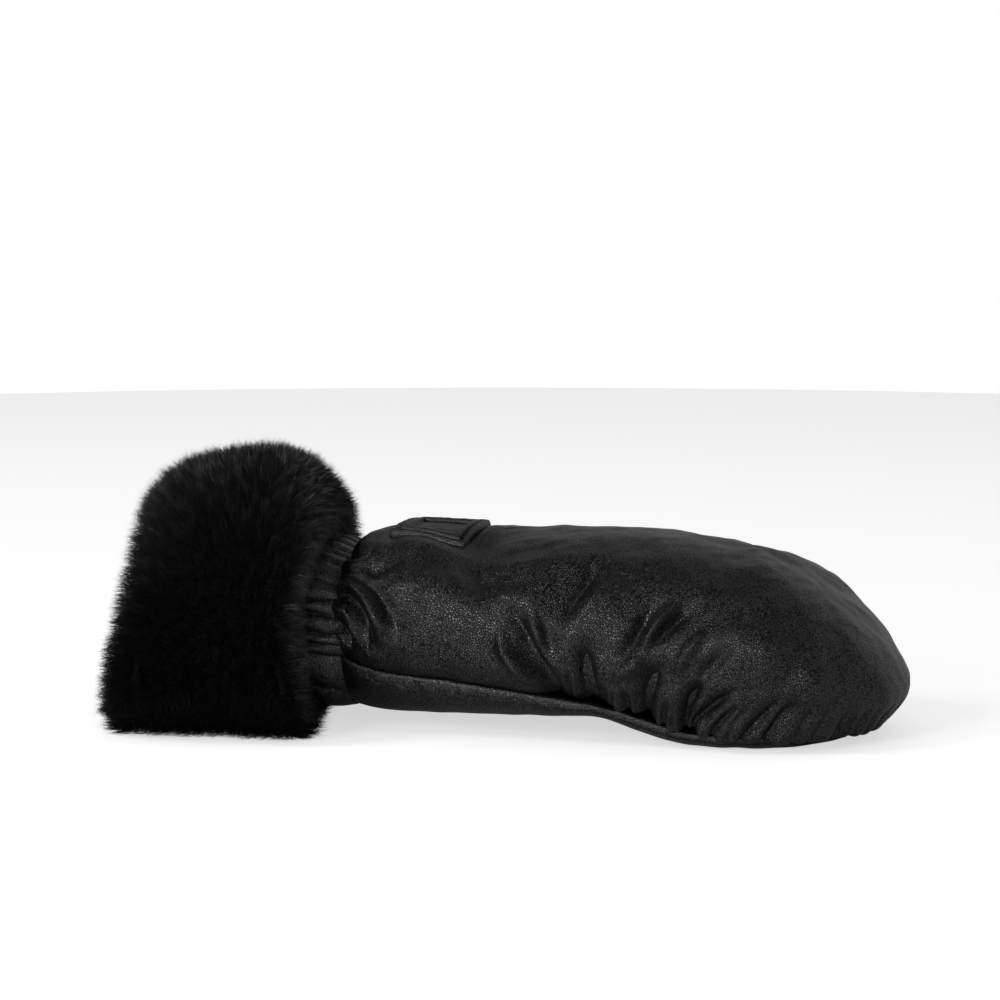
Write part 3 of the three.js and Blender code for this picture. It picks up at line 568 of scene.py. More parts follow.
def leather_grain():
    """Node group: the pebbles of the grain, the creases between them, and slow patches over the hide."""
    group = bpy.data.node_groups.new("leather_grain", "ShaderNodeTree")
    face, nodes = group.interface, group.nodes
    face.new_socket("Pebbles per metre", in_out="INPUT", socket_type="NodeSocketFloat")
    for name in ("Height", "Crease", "Patch"):
        face.new_socket(name, in_out="OUTPUT", socket_type="NodeSocketFloat")
    given, out = nodes.new("NodeGroupInput"), nodes.new("NodeGroupOutput")
    place = add(nodes, "TexCoord").outputs["Object"]

    wander = add(nodes, "TexNoise", {"Scale": GRAIN_WAVES})
    push = add(nodes, "VectorMath", {1: (GRAIN_PUSH,) * 3}, operation="MULTIPLY_ADD")
    wire((place, wander.inputs["Vector"]), (place, push.inputs[2]))
    wire((wander.outputs["Color"], push.inputs[0]))
    pebbles = add(nodes, "TexVoronoi", feature="DISTANCE_TO_EDGE")
    wire((push.outputs[0], pebbles.inputs["Vector"]))
    wire((given.outputs["Pebbles per metre"], pebbles.inputs["Scale"]))
    rounded = add(nodes, "MapRange", {"From Max": PEBBLE_ROUND}, interpolation_type="SMOOTHSTEP")
    fine = add(nodes, "TexNoise", {"Scale": FINE, "Detail": 3})
    patch = add(nodes, "TexNoise", {"Scale": PATCHES, "Detail": 2})
    height = add(nodes, "Math", {1: FINE_HEIGHT}, operation="MULTIPLY_ADD")
    crease = add(nodes, "Math", {0: 1}, operation="SUBTRACT")
    wire((pebbles.outputs["Distance"], rounded.inputs["Value"]), (place, fine.inputs["Vector"]))
    wire((place, patch.inputs["Vector"]), (fine.outputs["Fac"], height.inputs[0]))
    wire((rounded.outputs[0], height.inputs[2]), (rounded.outputs[0], crease.inputs[1]))
    wire((height.outputs[0], out.inputs["Height"]), (crease.outputs[0], out.inputs["Crease"]))
    wire((patch.outputs["Fac"], out.inputs["Patch"]))
    return group


GRAIN = leather_grain()


def between(amount, low, high, target):
    """Feeds a socket with a value or colour that runs from low to high with the amount."""
    nodes = target.id_data.nodes
    if isinstance(low, tuple):
        mix = add(nodes, "Mix", {"A": (*low, 1), "B": (*high, 1)}, data_type="RGBA")
        wire((amount, mix.inputs["Factor"]), (mix.outputs["Result"], target))
        return
    spread = add(nodes, "MapRange", {"To Min": low, "To Max": high})
    wire((amount, spread.inputs["Value"]), (spread.outputs[0], target))


def leather(name, face_colour, crease_shade_colour, roughness, per_metre, depth, shine):
    """Grained leather: its pebbles per metre, how deep the grain is in metres, and how it shines. Its
    creases get painted shade: a darker colour and less shine.
    """
    material, nodes = with_nodes(bpy.data.materials.new(name))
    shader = nodes["Principled BSDF"].inputs
    grain = nodes.new("ShaderNodeGroup")
    grain.node_tree = GRAIN
    grain.inputs["Pebbles per metre"].default_value = per_metre
    crease, patch = grain.outputs["Crease"], grain.outputs["Patch"]
    # Painted shade in the creases: their colour is darker and their shine lower than on the pebbles
    between(crease, face_colour, crease_shade_colour, shader["Base Color"])
    between(patch, *roughness, shader["Roughness"])
    between(crease, shine, CREASE_SHADE_SHINE * shine, shader["Specular IOR Level"])
    bump = add(nodes, "Bump", {"Distance": depth, "Strength": 1})
    wire((grain.outputs["Height"], bump.inputs["Height"]), (bump.outputs[0], shader["Normal"]))
    return material


HAND_LEATHER = leather("hand_leather", BLACK, BLACK_CREASE_SHADE, (0.29, 0.35), 1200, 0.00013, 0.9)


def make_piece(name, points, faces, material):
    """A smooth piece from points in millimetres and one or more arrays of faces."""
    faces = faces if isinstance(faces, list) else [faces]
    corners = np.concatenate([f.ravel() for f in faces]).astype(np.int32)
    sizes = np.concatenate([np.full(len(f), f.shape[1]) for f in faces])
    mesh = bpy.data.meshes.new(name)
    mesh.vertices.add(len(points))
    mesh.vertices.foreach_set("co", (np.array(ZERO) + points / 1000).astype(np.float32).ravel())
    mesh.loops.add(len(corners))
    mesh.loops.foreach_set("vertex_index", corners)
    mesh.polygons.add(len(sizes))
    mesh.polygons.foreach_set("loop_start", (np.cumsum(sizes) - sizes).astype(np.int32))
    mesh.update(calc_edges=True)
    mesh.validate()
    mesh.shade_smooth()
    mesh.materials.append(material)
    return put_in(name, mesh)


def zipped(fine, coarse):
    """Triangles between two edges of a sheet that run the same way with different steps."""
    made, i, j, ends = [], 0, 0, (len(fine) - 1, len(coarse) - 1)
    while i < ends[0] or j < ends[1]:
        if j == ends[1] or (i < ends[0] and (i + 1) * ends[1] <= (j + 1) * ends[0]):
            made.append((fine[i], coarse[j], fine[i + 1]))
            i += 1
        else:
            made.append((fine[i], coarse[j], coarse[j + 1]))
            j += 1
    made = np.array(made)
    return made[(made[:, 0] != made[:, 1]) & (made[:, 1] != made[:, 2]) & (made[:, 2] != made[:, 0])]


def walled(outer, tris, outer_at, inner, inner_tris, inner_at):
    """Closes a panel's outer and inner faces along the seam and the two wrist edges."""
    inner_at = inner_at + len(outer)
    edges = [
        zipped(outer_at[:, 0], inner_at[:, 0]),
        zipped(outer_at[0], inner_at[0])[:, ::-1],
        zipped(outer_at[-1], inner_at[-1]),
    ]
    return np.concatenate([outer, inner]), [tris, inner_tris[:, ::-1] + len(outer), *edges]


back_outer, back_tris, back_same, back_smooth, back_normal = back_panel_points()
back_outer += back_normal * folded(back_smooth, TOP_FOLDS, over_back)[:, None]


# Palm
# One flat panel of the same leather. Its edge stands proud of the seam as a soft roll, and it is flat
# where it rests.

PALM_WALL, PALM_ROLL, PALM_TURN_UNDER, SEAM_GAP, SEAM_ROLL = 2, 3, 10, 0.3, 0.5
# Steps over the roll, on under it, and in to the middle
PALM_STEPS = (9, 11, 12)
# Toward the fingertips, between these distances, the roll is drawn in by this share
DRAWN_IN = {"from": 92, "to": 125, "share": 0.8}
ROLL_FULL = 0.55
PALM_LEATHER = leather("palm_leather", BLACK, (0.003, 0.003, 0.0033), (0.25, 0.3), 1300, 0.00007, 0.8)


def palm_section(at, inset):
    """Rows from the seam round the roll to the middle of the palm, of the outer face or of the inner one."""
    top = at["seam_height"] + (-SEAM_GAP if inset else SEAM_ROLL)
    depth = top - at["palm"]
    to_tip = at["x"] + at["reach"] * at["along"]
    drawn_in = 1 - DRAWN_IN["share"] * smoothstep(to_tip, DRAWN_IN["from"], DRAWN_IN["to"])
    middle, roll = top - np.minimum(PALM_ROLL, 0.4 * depth), np.minimum(PALM_ROLL, depth / 2) * drawn_in
    rows = []
    for a in np.linspace(math.pi / 2, 0, PALM_STEPS[0]):
        up, out = math.sin(a) ** ROLL_FULL, math.cos(a) ** ROLL_FULL
        rows.append((at["seam"] + roll * out, middle + (top - middle) * up))
    for a in np.linspace(0, math.pi / 2, PALM_STEPS[1])[1:]:
        r = at["seam"] - PALM_TURN_UNDER + (PALM_TURN_UNDER + roll) * math.cos(a)
        rows.append((r, middle - (middle - at["palm"]) * math.sin(a)))
    if inset:
        for k, share in enumerate(np.linspace(0, 1, len(rows))):
            r = at["seam"] - PALM_WALL - (PALM_TURN_UNDER - PALM_WALL) * share
            rows[k] = r, top + (at["palm"] + PALM_WALL - top) * math.sin(share * math.pi / 2)
    floor = at["palm"] + (PALM_WALL if inset else 0)
    for share in np.linspace(1, 0, PALM_STEPS[2])[1:]:
        rows.append(((at["seam"] - PALM_TURN_UNDER) * share, floor))
    return np.stack([placed(at, r, z) for r, z in rows], 1)


def make_palm():
    s = back_panel_rows()[0]
    made = []
    for inset, stations in ((0, s), (PALM_WALL, s[::3])):
        grid = palm_section(station(stations), inset)
        points, tris, same = welded(grid.reshape(-1, 3), grid_faces(*grid.shape[:2]))
        made.append((points, tris, same.reshape(grid.shape[:2])))
    (outer, tris, outer_at), (inner, inner_tris, inner_at) = made
    along, across = at_points(outer_at, s[:, None]), at_points(outer_at, np.arange(outer_at.shape[1]))
    # The gathers show through the roll beside the seam. across counts the section's rows.
    near_seam = swell(across, 0, 7)
    lift = 0.22 * ripple(outer, 14, 3) * smoothstep(across, 2, 8) * (1 - smoothstep(across, 14, 19))
    for depth, width, _, line in SEAM_PLEATS + hidden_pleats():
        lift += 0.16 * depth * swell(along, line[-1][0], width + 0.8) * near_seam
    outer = outer - outward(outer, tris) * lift[:, None]
    outer[:, 2] = np.maximum(outer[:, 2], 0.02)
    points, faces = walled(outer, tris, outer_at, inner, inner_tris, inner_at)
    faces = [f[:, ::-1] for f in faces]
    return make_piece("palm_leather", points, faces, PALM_LEATHER), outer, tris[:, ::-1]


palm, palm_outer, palm_tris = make_palm()
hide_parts("palm_panel")
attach(palm, "root")


# Thumb
# A padded sleeve in an upper and a lower half, seamed along both sides and round the tip, and let into
# the side of the hand, whose leather is drawn in all round it.

THUMB = {
    "x": [-42, -22, 0, 20, 38, 52, 61, 67],
    "y": [24, 36, 51, 63, 70, 73, 74.2, 74.8],
    "z": [36, 35.5, 34, 30, 25.5, 22, 20.5, 20],
    "wide": [17, 20, 22, 22.5, 21, 17.5, 12.5, 5],
    "tall": [15, 17.5, 19, 19.5, 18.5, 16, 12, 5],
}
THUMB_ROOT, THUMB_END, THUMB_END_ROUND = -42, 67, 1.4
# Rings along it, rings round its end, and steps over each half
THUMB_STEPS = (110, 7, 56)
SEAM_SINK = {"depth": 1.5, "width": 1.6}
# Where the leather of thumb and hand meets, each is drawn in by this depth over this distance
THUMB_TUCK = {"depth": 1.1, "reach": 2.2}
HAND_TUCK = {"depth": 1.6, "reach": 2.4}


def thumb_rings(x, angle, shrink):
    turn = read(THUMB, "y", x + 0.5) - read(THUMB, "y", x - 0.5)
    long = np.hypot(1, turn)
    wide = np.maximum(read(THUMB, "wide", x), 1) * shrink * np.cos(angle)
    tall = np.maximum(read(THUMB, "tall", x), 1) * shrink * np.sin(angle)
    y, z = read(THUMB, "y", x) + wide / long, read(THUMB, "z", x) + tall
    return np.stack([x - turn / long * wide, y, z], -1)


def depth_in(tree, points):
    """How far each point is under a skin, less than zero outside it."""
    made = np.empty(len(points))
    for k, p in enumerate(points):
        place, normal, _, away = tree.find_nearest(p)
        made[k] = away if (Vector(p) - place).dot(normal) < 0 else -away
    return made


def tree_of(points, *face_sets):
    return BVHTree.FromPolygons(points.tolist(), [f for faces in face_sets for f in faces.tolist()])


def thumb_half(upper, skin, seed):
    """Half of the sleeve, without what is deep inside the hand."""
    x = THUMB_ROOT + (THUMB_END - THUMB_ROOT) * np.sin(np.linspace(0, math.pi / 2, THUMB_STEPS[0]))
    end = np.linspace(0, math.pi / 2, THUMB_STEPS[1])[1:]
    shrink = np.concatenate([np.ones(len(x)), np.cos(end)])[:, None]
    beyond = np.concatenate([np.zeros(len(x)), THUMB_END_ROUND * np.sin(end)])[:, None]
    x = np.concatenate([x, np.full(len(end), THUMB_END)])[:, None]
    angle = (np.linspace(0, math.pi, THUMB_STEPS[2]) + (0 if upper else math.pi))[None, :]
    grid = thumb_rings(x + 0 * angle, angle + 0 * x, shrink)
    grid[..., 0] += beyond
    points, tris, same = welded(grid.reshape(-1, 3), grid_faces(*grid.shape[:2]))
    tris = tris[:, ::-1]

    # Millimetres along the thumb and from the nearer seam, at every point
    columns = grid.shape[1]
    reach = at_points(same, np.repeat(x + beyond, columns))
    edge = np.minimum(np.arange(columns), np.arange(columns)[::-1])
    half_round = read(THUMB, "wide", x) * shrink * math.pi
    from_seam = at_points(same, (edge * half_round / (columns - 1)).ravel())

    lift = -SEAM_SINK["depth"] * swell(from_seam, 0, SEAM_SINK["width"])
    lift += 0.5 * ripple(points, 17, seed) + 0.15 * ripple(points, 7, seed + 1)
    chance = np.random.default_rng(seed)
    pucker = -14.0
    while pucker < THUMB_END:
        close = swell(reach, pucker, chance.uniform(1.0, 1.7))
        lift -= chance.uniform(0.3, 0.8) * close * swell(from_seam, 0, chance.uniform(3, 7))
        pucker += chance.uniform(4, 8)
    under = depth_in(skin, points)
    lift -= THUMB_TUCK["depth"] * swell(under, 0, THUMB_TUCK["reach"])
    points = points + outward(points, tris) * lift[:, None]

    # Only what stands out of the hand is kept, with a little to spare
    kept = tris[(under[tris] < 1.5).any(1)]
    used = np.unique(kept)
    renumbered = np.zeros(len(points), int)
    renumbered[used] = np.arange(len(used))
    return points[used], renumbered[kept]


hand_skin = tree_of(np.concatenate([back_outer, palm_outer]), back_tris, palm_tris + len(back_outer))
thumb_skins = []
for name, node, upper, seed in (
    ("thumb_back_leather", "thumb_back", True, 21),
    ("thumb_palm_leather", "thumb_palm", False, 31),
):
    thumb_points, thumb_tris = thumb_half(upper, hand_skin, seed)
    thumb_skins.append((thumb_points, thumb_tris))
    thumb = make_piece(name, thumb_points, thumb_tris, HAND_LEATHER)
    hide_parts(node)
    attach(thumb, "root")


# The hand panel, now that the thumb is in it
# Its leather is tucked in along the thumb's root, and its padding and lining make a wall inside.

def make_back_panel():
    (above, above_tris), (below, below_tris) = thumb_skins
    both = np.concatenate([above, below])
    thumb_skin = tree_of(both, above_tris, below_tris + len(above))
    close = close_to(back_outer, both.min(0), both.max(0), 6)
    tucked = HAND_TUCK["depth"] * swell(depth_in(thumb_skin, back_outer[close]), 0, HAND_TUCK["reach"])
    outer = back_outer.copy()
    outer[close] -= back_normal[close] * tucked[:, None]
    s, beta = back_panel_rows()
    S, B = np.meshgrid(s[::3], beta[::6], indexing="ij")
    inner, inner_tris, same = welded(smooth_back(S, B).reshape(-1, 3), grid_faces(*S.shape))
    thick = WALL + WALL_SPARE * np.maximum(np.cos(np.radians(at_points(same, B.ravel()))), 0)
    inner = inner - outward(inner, inner_tris) * thick[:, None]
    outer_at = back_same.reshape(len(s), len(beta))
    points, faces = walled(outer, back_tris, outer_at, inner, inner_tris, same.reshape(S.shape))
    return make_piece("back_leather", points, faces, HAND_LEATHER)


back = make_back_panel()
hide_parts("back_panel")
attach(back, "root")


# Wrist band
# A strip of thinner leather shirred on to elastic between two rows of stitching, so that it stands up in
# small uneven ruffles and draws the wrist in.

BAND = {"rear": -90, "front": -63.6, "half": 41.5, "low": 14, "high": 62, "squareness": 2.3}
# Steps along the arm and round it, of which the inner face takes every ninth and every third
BAND_STEPS, INNER_STEPS = (28, 900), (9, 3)
# Its thickness, and how far it reaches in under the edge of the hand
BAND_WALL, UNDER_HAND = 3.4, 1.2
# A ruffle's widest, its height as a share of its width, and its highest
RUFFLE = {"wide": 7.5, "share": 0.55, "high": 3.2}
# Below the first of these heights the ruffles lie nearly flat, above the second they stand up
LAID_FLAT = (20, 31)
# Its shine is raised well above the hand's: painted light, brightening the band where the fur's shadow falls
# on it
WRIST_LEATHER = leather("wrist_leather", BLACK, BLACK_CREASE_SHADE, (0.33, 0.4), 1500, 0.0001, 1.6)


def loop(angle, half, low, high, squareness):
    """Side and height of a rounded squarish loop round the arm."""
    c, v, power = np.cos(angle), np.sin(angle), 2 / squareness
    side = half * np.sign(c) * np.abs(c) ** power
    return side, (low + high) / 2 + (high - low) / 2 * np.sign(v) * np.abs(v) ** power


def ruffle_places(y, z, length):
    """Where the valleys between the ruffles lie round the band, in millimetres from the thumb side."""
    heights = smooth_back(0 * np.array(RUFFLES), RUFFLES)[:, 2]
    places = []
    for side in (-1, 1):
        rows = np.flatnonzero((y * side > 0) & (np.abs(y) > 12))
        rows = rows[np.argsort(z[rows], kind="stable")]
        places += list(np.interp(heights, z[rows], length[rows]))
    places = np.sort(np.array(places) % length[-1])
    gaps = np.diff(np.append(places, places[0] + length[-1]))
    filled = []
    for place, gap in zip(places, gaps):
        parts = max(1, round(gap / RUFFLE["wide"]))
        filled += [place + gap * k / parts for k in range(parts)]
    return np.array(filled)


def ruffles(around, share, valleys, upright, whole):
    """How far the ruffles stand up: a pillow between every two valleys, which wander on their way."""
    chance = np.random.default_rng(8)
    gaps = np.diff(np.append(valleys, valleys[0] + whole))
    wander, bend = chance.uniform(-2.2, 2.2, len(valleys)), chance.uniform(0, 6.3, len(valleys))
    lines = []
    for valley, aside, phase in zip(valleys, wander, bend):
        lines.append(valley + aside * (1 - share) + 0.7 * (np.sin(5 * share + phase) - math.sin(5 + phase)))
    profile = (0.35 + 0.65 * smoothstep(share, 0.05, 0.5)) * (1 - 0.55 * smoothstep(share, 0.7, 0.95))
    lift = 0 * share + 0 * around
    for number, gap in enumerate(gaps):
        start = lines[number]
        wide = (lines[(number + 1) % len(lines)] - start) % whole
        along = (around - start) % whole / wide
        height = min(RUFFLE["share"] * gap, RUFFLE["high"]) * chance.uniform(0.85, 1.2)
        height *= 0.2 + 0.8 * upright[number]
        pillow = np.sin(math.pi * np.clip(along, 0, 1)) ** 0.6
        lift += np.where(along < 1, height * profile * pillow, 0)
    return lift


def closed(row):
    return np.append(row, row[0])


def make_band():
    fine = np.linspace(0, 2 * math.pi, 4001)
    fine_y, fine_z = loop(fine, BAND["half"], BAND["low"], BAND["high"], BAND["squareness"])
    length = np.concatenate([[0], np.cumsum(np.hypot(np.diff(fine_y), np.diff(fine_z)))])
    rows, columns = BAND_STEPS
    around = np.linspace(0, length[-1], columns, endpoint=False)
    share = np.linspace(0, 1, rows)[:, None]
    y, z = (np.interp(around, length, v)[None, :] + 0 * share for v in (fine_y, fine_z))
    long = BAND["front"] + UNDER_HAND - BAND["rear"]
    x = BAND["rear"] + long * share - HAND["slant"][0] * (z - WRIST_MIDDLE)

    # Toward the hand its lower half takes the shape of the palm
    wrist = {name: float(read(HAND, name, WRIST)) for name in ("seam", "seam_height", "palm")}
    turned = np.clip((np.abs(y) - wrist["seam"] + PALM_TURN_UNDER) / (PALM_TURN_UNDER + PALM_ROLL), 0, 1)
    side = wrist["seam_height"] - PALM_ROLL
    palm_like = side - (side - wrist["palm"]) * np.sqrt(1 - turned**2)
    lower = np.sin(np.interp(around, length, fine))[None, :] < 0
    below = np.where(lower, np.maximum(z - palm_like, 0), 0)
    z = z - below * (1 - smoothstep(z, 16, 30)) * smoothstep(share, 0, 0.6)

    points = np.stack([x, y, z], -1)
    faces = grid_faces(rows, columns, close_columns=True)[:, ::-1]
    normal = outward(points.reshape(-1, 3), faces).reshape(points.shape)
    valleys = ruffle_places(fine_y, fine_z, length)
    upright = smoothstep(np.interp(valleys, length, fine_z), *LAID_FLAT)
    lift = -0.6 + np.sin(math.pi * share) ** 0.8 + ruffles(around, share, valleys, upright, length[-1])
    lift += (1 - smoothstep(np.interp(around, length, fine_z), *LAID_FLAT)) * 1.4
    lift -= 1.5 * smoothstep(share, 0.95, 1)
    outer = (points + normal * lift[..., None]).reshape(-1, 3)

    inner = (points - normal * BAND_WALL)[:: INNER_STEPS[0], :: INNER_STEPS[1]]
    outer_at = np.arange(len(outer)).reshape(rows, columns)
    inner_at = np.arange(inner[..., 0].size).reshape(inner.shape[:2]) + len(outer)
    inner_faces = grid_faces(*inner_at.shape, close_columns=True, start=len(outer))
    rear_rim = zipped(closed(outer_at[0]), closed(inner_at[0]))[:, ::-1]
    front_rim = zipped(closed(outer_at[-1]), closed(inner_at[-1]))
    points = np.concatenate([outer, inner.reshape(-1, 3)])
    return make_piece("wrist_leather", points, [faces, inner_faces, rear_rim, front_rim], WRIST_LEATHER)


band = make_band()
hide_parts("wrist_band")
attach(band, "root")


# Badge
# A square of smooth leather with a rolled rim, a stitched groove and a raised square frame, and a plain
# field inside. It is sewn to the back of the hand through the groove.

BADGE = {"turn": -4, "side": 30, "lift": 0.2, "under": -1.0, "corner": 1.6, "frame": 7}
STITCHES = {"inset": 2.75, "pitch": 2.45, "a_side": 10, "rise": 0.75, "length": 1.9, "radius": 0.24}
TWISTS_PER_METRE, TWIST_DEPTH = 900, 0.00008
# A little lighter and shinier than the hand's leather: partly its own finish, partly painted light for the
# brightness on top of the hand
BADGE_LEATHER = leather(
    "badge_leather", (0.006, 0.0061, 0.0066), (0.003, 0.003, 0.0032), (0.3, 0.42), 2000, 0.00006, 1.0)
# Height of its face by distance in from the edge
BADGE_FACE = {
    "x": [0, 0.15, 0.5, 1.0, 1.7, 2.2, 2.5, 2.9, 3.3, 3.7, 4.4, 5.2, 5.7, 6.1, 15],
    "height": [0, 1.0, 1.9, 2.3, 2.2, 1.5, 0.7, 0.6, 1.2, 2.2, 2.4, 2.1, 1.1, 0.8, 0.8],
}


def on_badge(u, v, rise):
    """Points along the badge's own two directions, this far above the smooth back."""
    turn = math.radians(BADGE["turn"])
    x = BADGE_MIDDLE.x + u * math.cos(turn) - v * math.sin(turn)
    y = BADGE_MIDDLE.y + u * math.sin(turn) + v * math.cos(turn)
    point = over_back(x, y)
    point[..., 2] += rise
    return point


def make_badge():
    # Fine steps in as far as the frame, wide ones over the plain field
    edge, frame, corner = BADGE["side"] / 2, BADGE["frame"], BADGE["corner"]
    steps = np.concatenate([np.linspace(0, frame, 57)[:-1], np.linspace(frame, edge, 12)])
    marks = np.concatenate([steps - edge, (edge - steps[:-1])[::-1]])
    u, v = np.meshgrid(marks, marks, indexing="ij")
    inset = np.abs(np.stack([u, v])) - (edge - corner)
    past = np.maximum(inset, 0)
    square, diagonal = past.max(0), np.hypot(*past)
    pull = np.where(diagonal > 1e-9, square / np.maximum(diagonal, 1e-9), 1)
    u, v = (np.sign(w) * (np.minimum(np.abs(w), edge - corner) + p * pull) for w, p in zip((u, v), past))
    from_edge = np.where(square > 0, corner - square, corner - inset.max(0))
    worn = 0.09 * ripple(np.stack([u, v, 0 * u], -1).reshape(-1, 3), 4, 41).reshape(u.shape)
    rise = BADGE["lift"] + read(BADGE_FACE, "height", from_edge) + worn * (from_edge > 0.3)
    over, under = on_badge(u, v, rise), on_badge(u, v, BADGE["under"])
    at = np.arange(u.size).reshape(u.shape)
    rim = np.concatenate([at[0], at[1:, -1], at[-1, -2::-1], at[-2:0:-1, 0]])
    turned = np.append(rim[1:], rim[0])
    sides = np.stack([rim, turned, turned + u.size, rim + u.size], -1)[:, ::-1]
    face = grid_faces(*u.shape)
    faces = [face, face[:, ::-1] + u.size, sides[:, ::-1]]
    points = np.concatenate([over.reshape(-1, 3), under.reshape(-1, 3)])
    return make_piece("badge_leather", points, faces, BADGE_LEATHER)


def stitches(name, places, ways, length, radius, material):
    """Short rounded lengths of thread, each lying along its way with its ends sunk in the leather."""
    rings, corners = 7, 8
    share, turns = np.linspace(-1, 1, rings), np.linspace(0, 2 * math.pi, corners, endpoint=False)
    up = np.array([0, 0, 1.0])
    side = np.cross(ways, up)
    side /= np.linalg.norm(side, axis=1, keepdims=True)
    size = radius * np.sqrt(np.maximum(1 - share**4, 0.02))[:, None, None]
    sunk = up * (0.5 * radius * share**2)[:, None]
    points, faces = [], []
    for place, way, across in zip(places, ways, side):
        middle = place + way * (share * length / 2)[:, None] - sunk
        ring = np.cos(turns)[None, :, None] * across + np.sin(turns)[None, :, None] * up
        faces.append(grid_faces(rings, corners, close_columns=True, start=rings * corners * len(points)))
        points.append((middle[:, None, :] + ring * size).reshape(-1, 3))
    first = np.arange(len(points))[:, None] * rings * corners
    caps = [first + np.arange(corners)[::-1], first + (rings - 1) * corners + np.arange(corners)]
    return make_piece(name, np.concatenate(points), [np.concatenate(faces), *caps], material)


def thread(name, colour):
    material, nodes = with_nodes(bpy.data.materials.new(name))
    shader = nodes["Principled BSDF"].inputs
    shader["Roughness"].default_value = 0.6
    twist = add(nodes, "TexWave", {"Scale": TWISTS_PER_METRE}, bands_direction="DIAGONAL")
    bump = add(nodes, "Bump", {"Distance": TWIST_DEPTH})
    wire((add(nodes, "TexCoord").outputs["Object"], twist.inputs["Vector"]))
    wire((twist.outputs["Fac"], bump.inputs["Height"]), (bump.outputs[0], shader["Normal"]))
    # The twist's grooves are painted darker, as painted shade, at the same places where the bump sinks
    between(twist.outputs["Fac"], tuple(0.5 * c for c in colour), colour, shader["Base Color"])
    return material


def badge_stitch_places():
    count, rise = STITCHES["a_side"], BADGE["lift"] + STITCHES["rise"]
    marks = (np.arange(count) - (count - 1) / 2) * STITCHES["pitch"]
    line = np.full(count, BADGE["side"] / 2 - STITCHES["inset"])
    u, v = np.concatenate([marks, line, marks, -line]), np.concatenate([-line, marks, line, marks])
    du = np.concatenate([np.ones(count), np.zeros(count)] * 2)
    places = on_badge(u, v, rise)
    ahead = on_badge(u + 0.5 * du, v + 0.5 * (1 - du), rise) - places
    return places, ahead / np.linalg.norm(ahead, axis=1, keepdims=True)


badge = make_badge()
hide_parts("badge")
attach(badge, "root")
black_thread = thread("black_thread", (0.012, 0.012, 0.013))
badge_thread = stitches(
    "badge_thread", *badge_stitch_places(), STITCHES["length"], STITCHES["radius"], black_thread)
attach(badge_thread, "root")


# Fur cuff
# Deep black pile on a knitted backing, turned round the arm as a soft roll and drawn in under the wrist
# band. The hairs stand in small locks, fan out over both rims and lie flat where they meet the ground.

CUFF = {
    "x": [-152, -145, -136, -124, -110, -98, -88, -80, -73, -68],
    "top": [79, 86, 92, 96.5, 99.5, 99.5, 95.5, 89.5, 82, 74],
    "half": [79, 82, 84, 84, 83, 82, 81, 80, 78, 75],
    "low": [4, 0, 0, 0, 0, 0, 0, 0.5, 5, 11],
}
CUFF_BORE = {
    "x": [-152, -116, -92, -82, -60],
    "half": [56, 54, 48, 43.5, 43.5],
    "low": [20, 18, 12, 11.9, 11.9],
    "high": [72, 72, 68, 64.1, 64.1],
}
# Once round the roll: x, and how far out it is from the bore (0) to the outside of the pile (1)
ROLL = [
    (-81, 0), (-89, 0), (-102, 0), (-122, 0), (-139, 0.02), (-147, 0.16), (-151, 0.46),
    (-151.5, 0.76), (-148.5, 0.95), (-140, 1), (-130, 1), (-120, 1), (-111, 1), (-102, 1), (-93, 1),
    (-85, 0.99), (-79, 0.95), (-75.8, 0.8), (-76, 0.5), (-78, 0.2),
]
# It is widest at this share of its height, round above and square below
WIDEST, ROUND_TOP, SQUARE_BASE, BORE_SQUARE = 0.3, 1.85, 4, 2.3
# It stands askew to the arm, more so at the rim and at the foot toward the hand, and slumps back
SKEW, RIM_SKEW, FOOT_SKEW, SLUMP = 0.14, 0.187, 0.08, 0.06
# The elastic draws its front in most at half height
PINCH = {"from": -96, "to": -78, "z": 42, "spread": 18, "depth": 7}
# How deep the bed lies under the ends of the hairs, and the grid over the cuff that the hairs stand on
PILE_DEPTH, BED_STEPS, HAIR_STEPS = 7.0, (120, 200), (160, 300)
# Locks of hair, how far each one drifts off and each of its hairs leans, and how far all point down
LOCKS, DRIFT, LEAN, DOWN = 6500, 0.12, 0.13, 0.12
# The mouth: its middle height, and in front of this x there is none
MOUTH = {"z": 46, "front": -110}
# Lock-to-lock patches of tone in each metre of the pile, and the painted shade that darkens and dulls its
# foot, fading out with height, in metres
PILE_PATCHES, FOOT_PAINTED_SHADE = 260, {"From Min": 0.004, "From Max": 0.06, "To Min": 0.06}
# Half the width of a hair at its root and at its middle
HAIR_ROOT, HAIR_MIDDLE = 0.09, 0.075


def roll_at(share):
    line = path_through([ROLL[-1], *ROLL, ROLL[0]], 12)[12:-12]
    steps = np.linspace(0, 1, len(line))
    return np.interp(share, steps, line[:, 0]), np.clip(np.interp(share, steps, line[:, 1]), 0, 1)


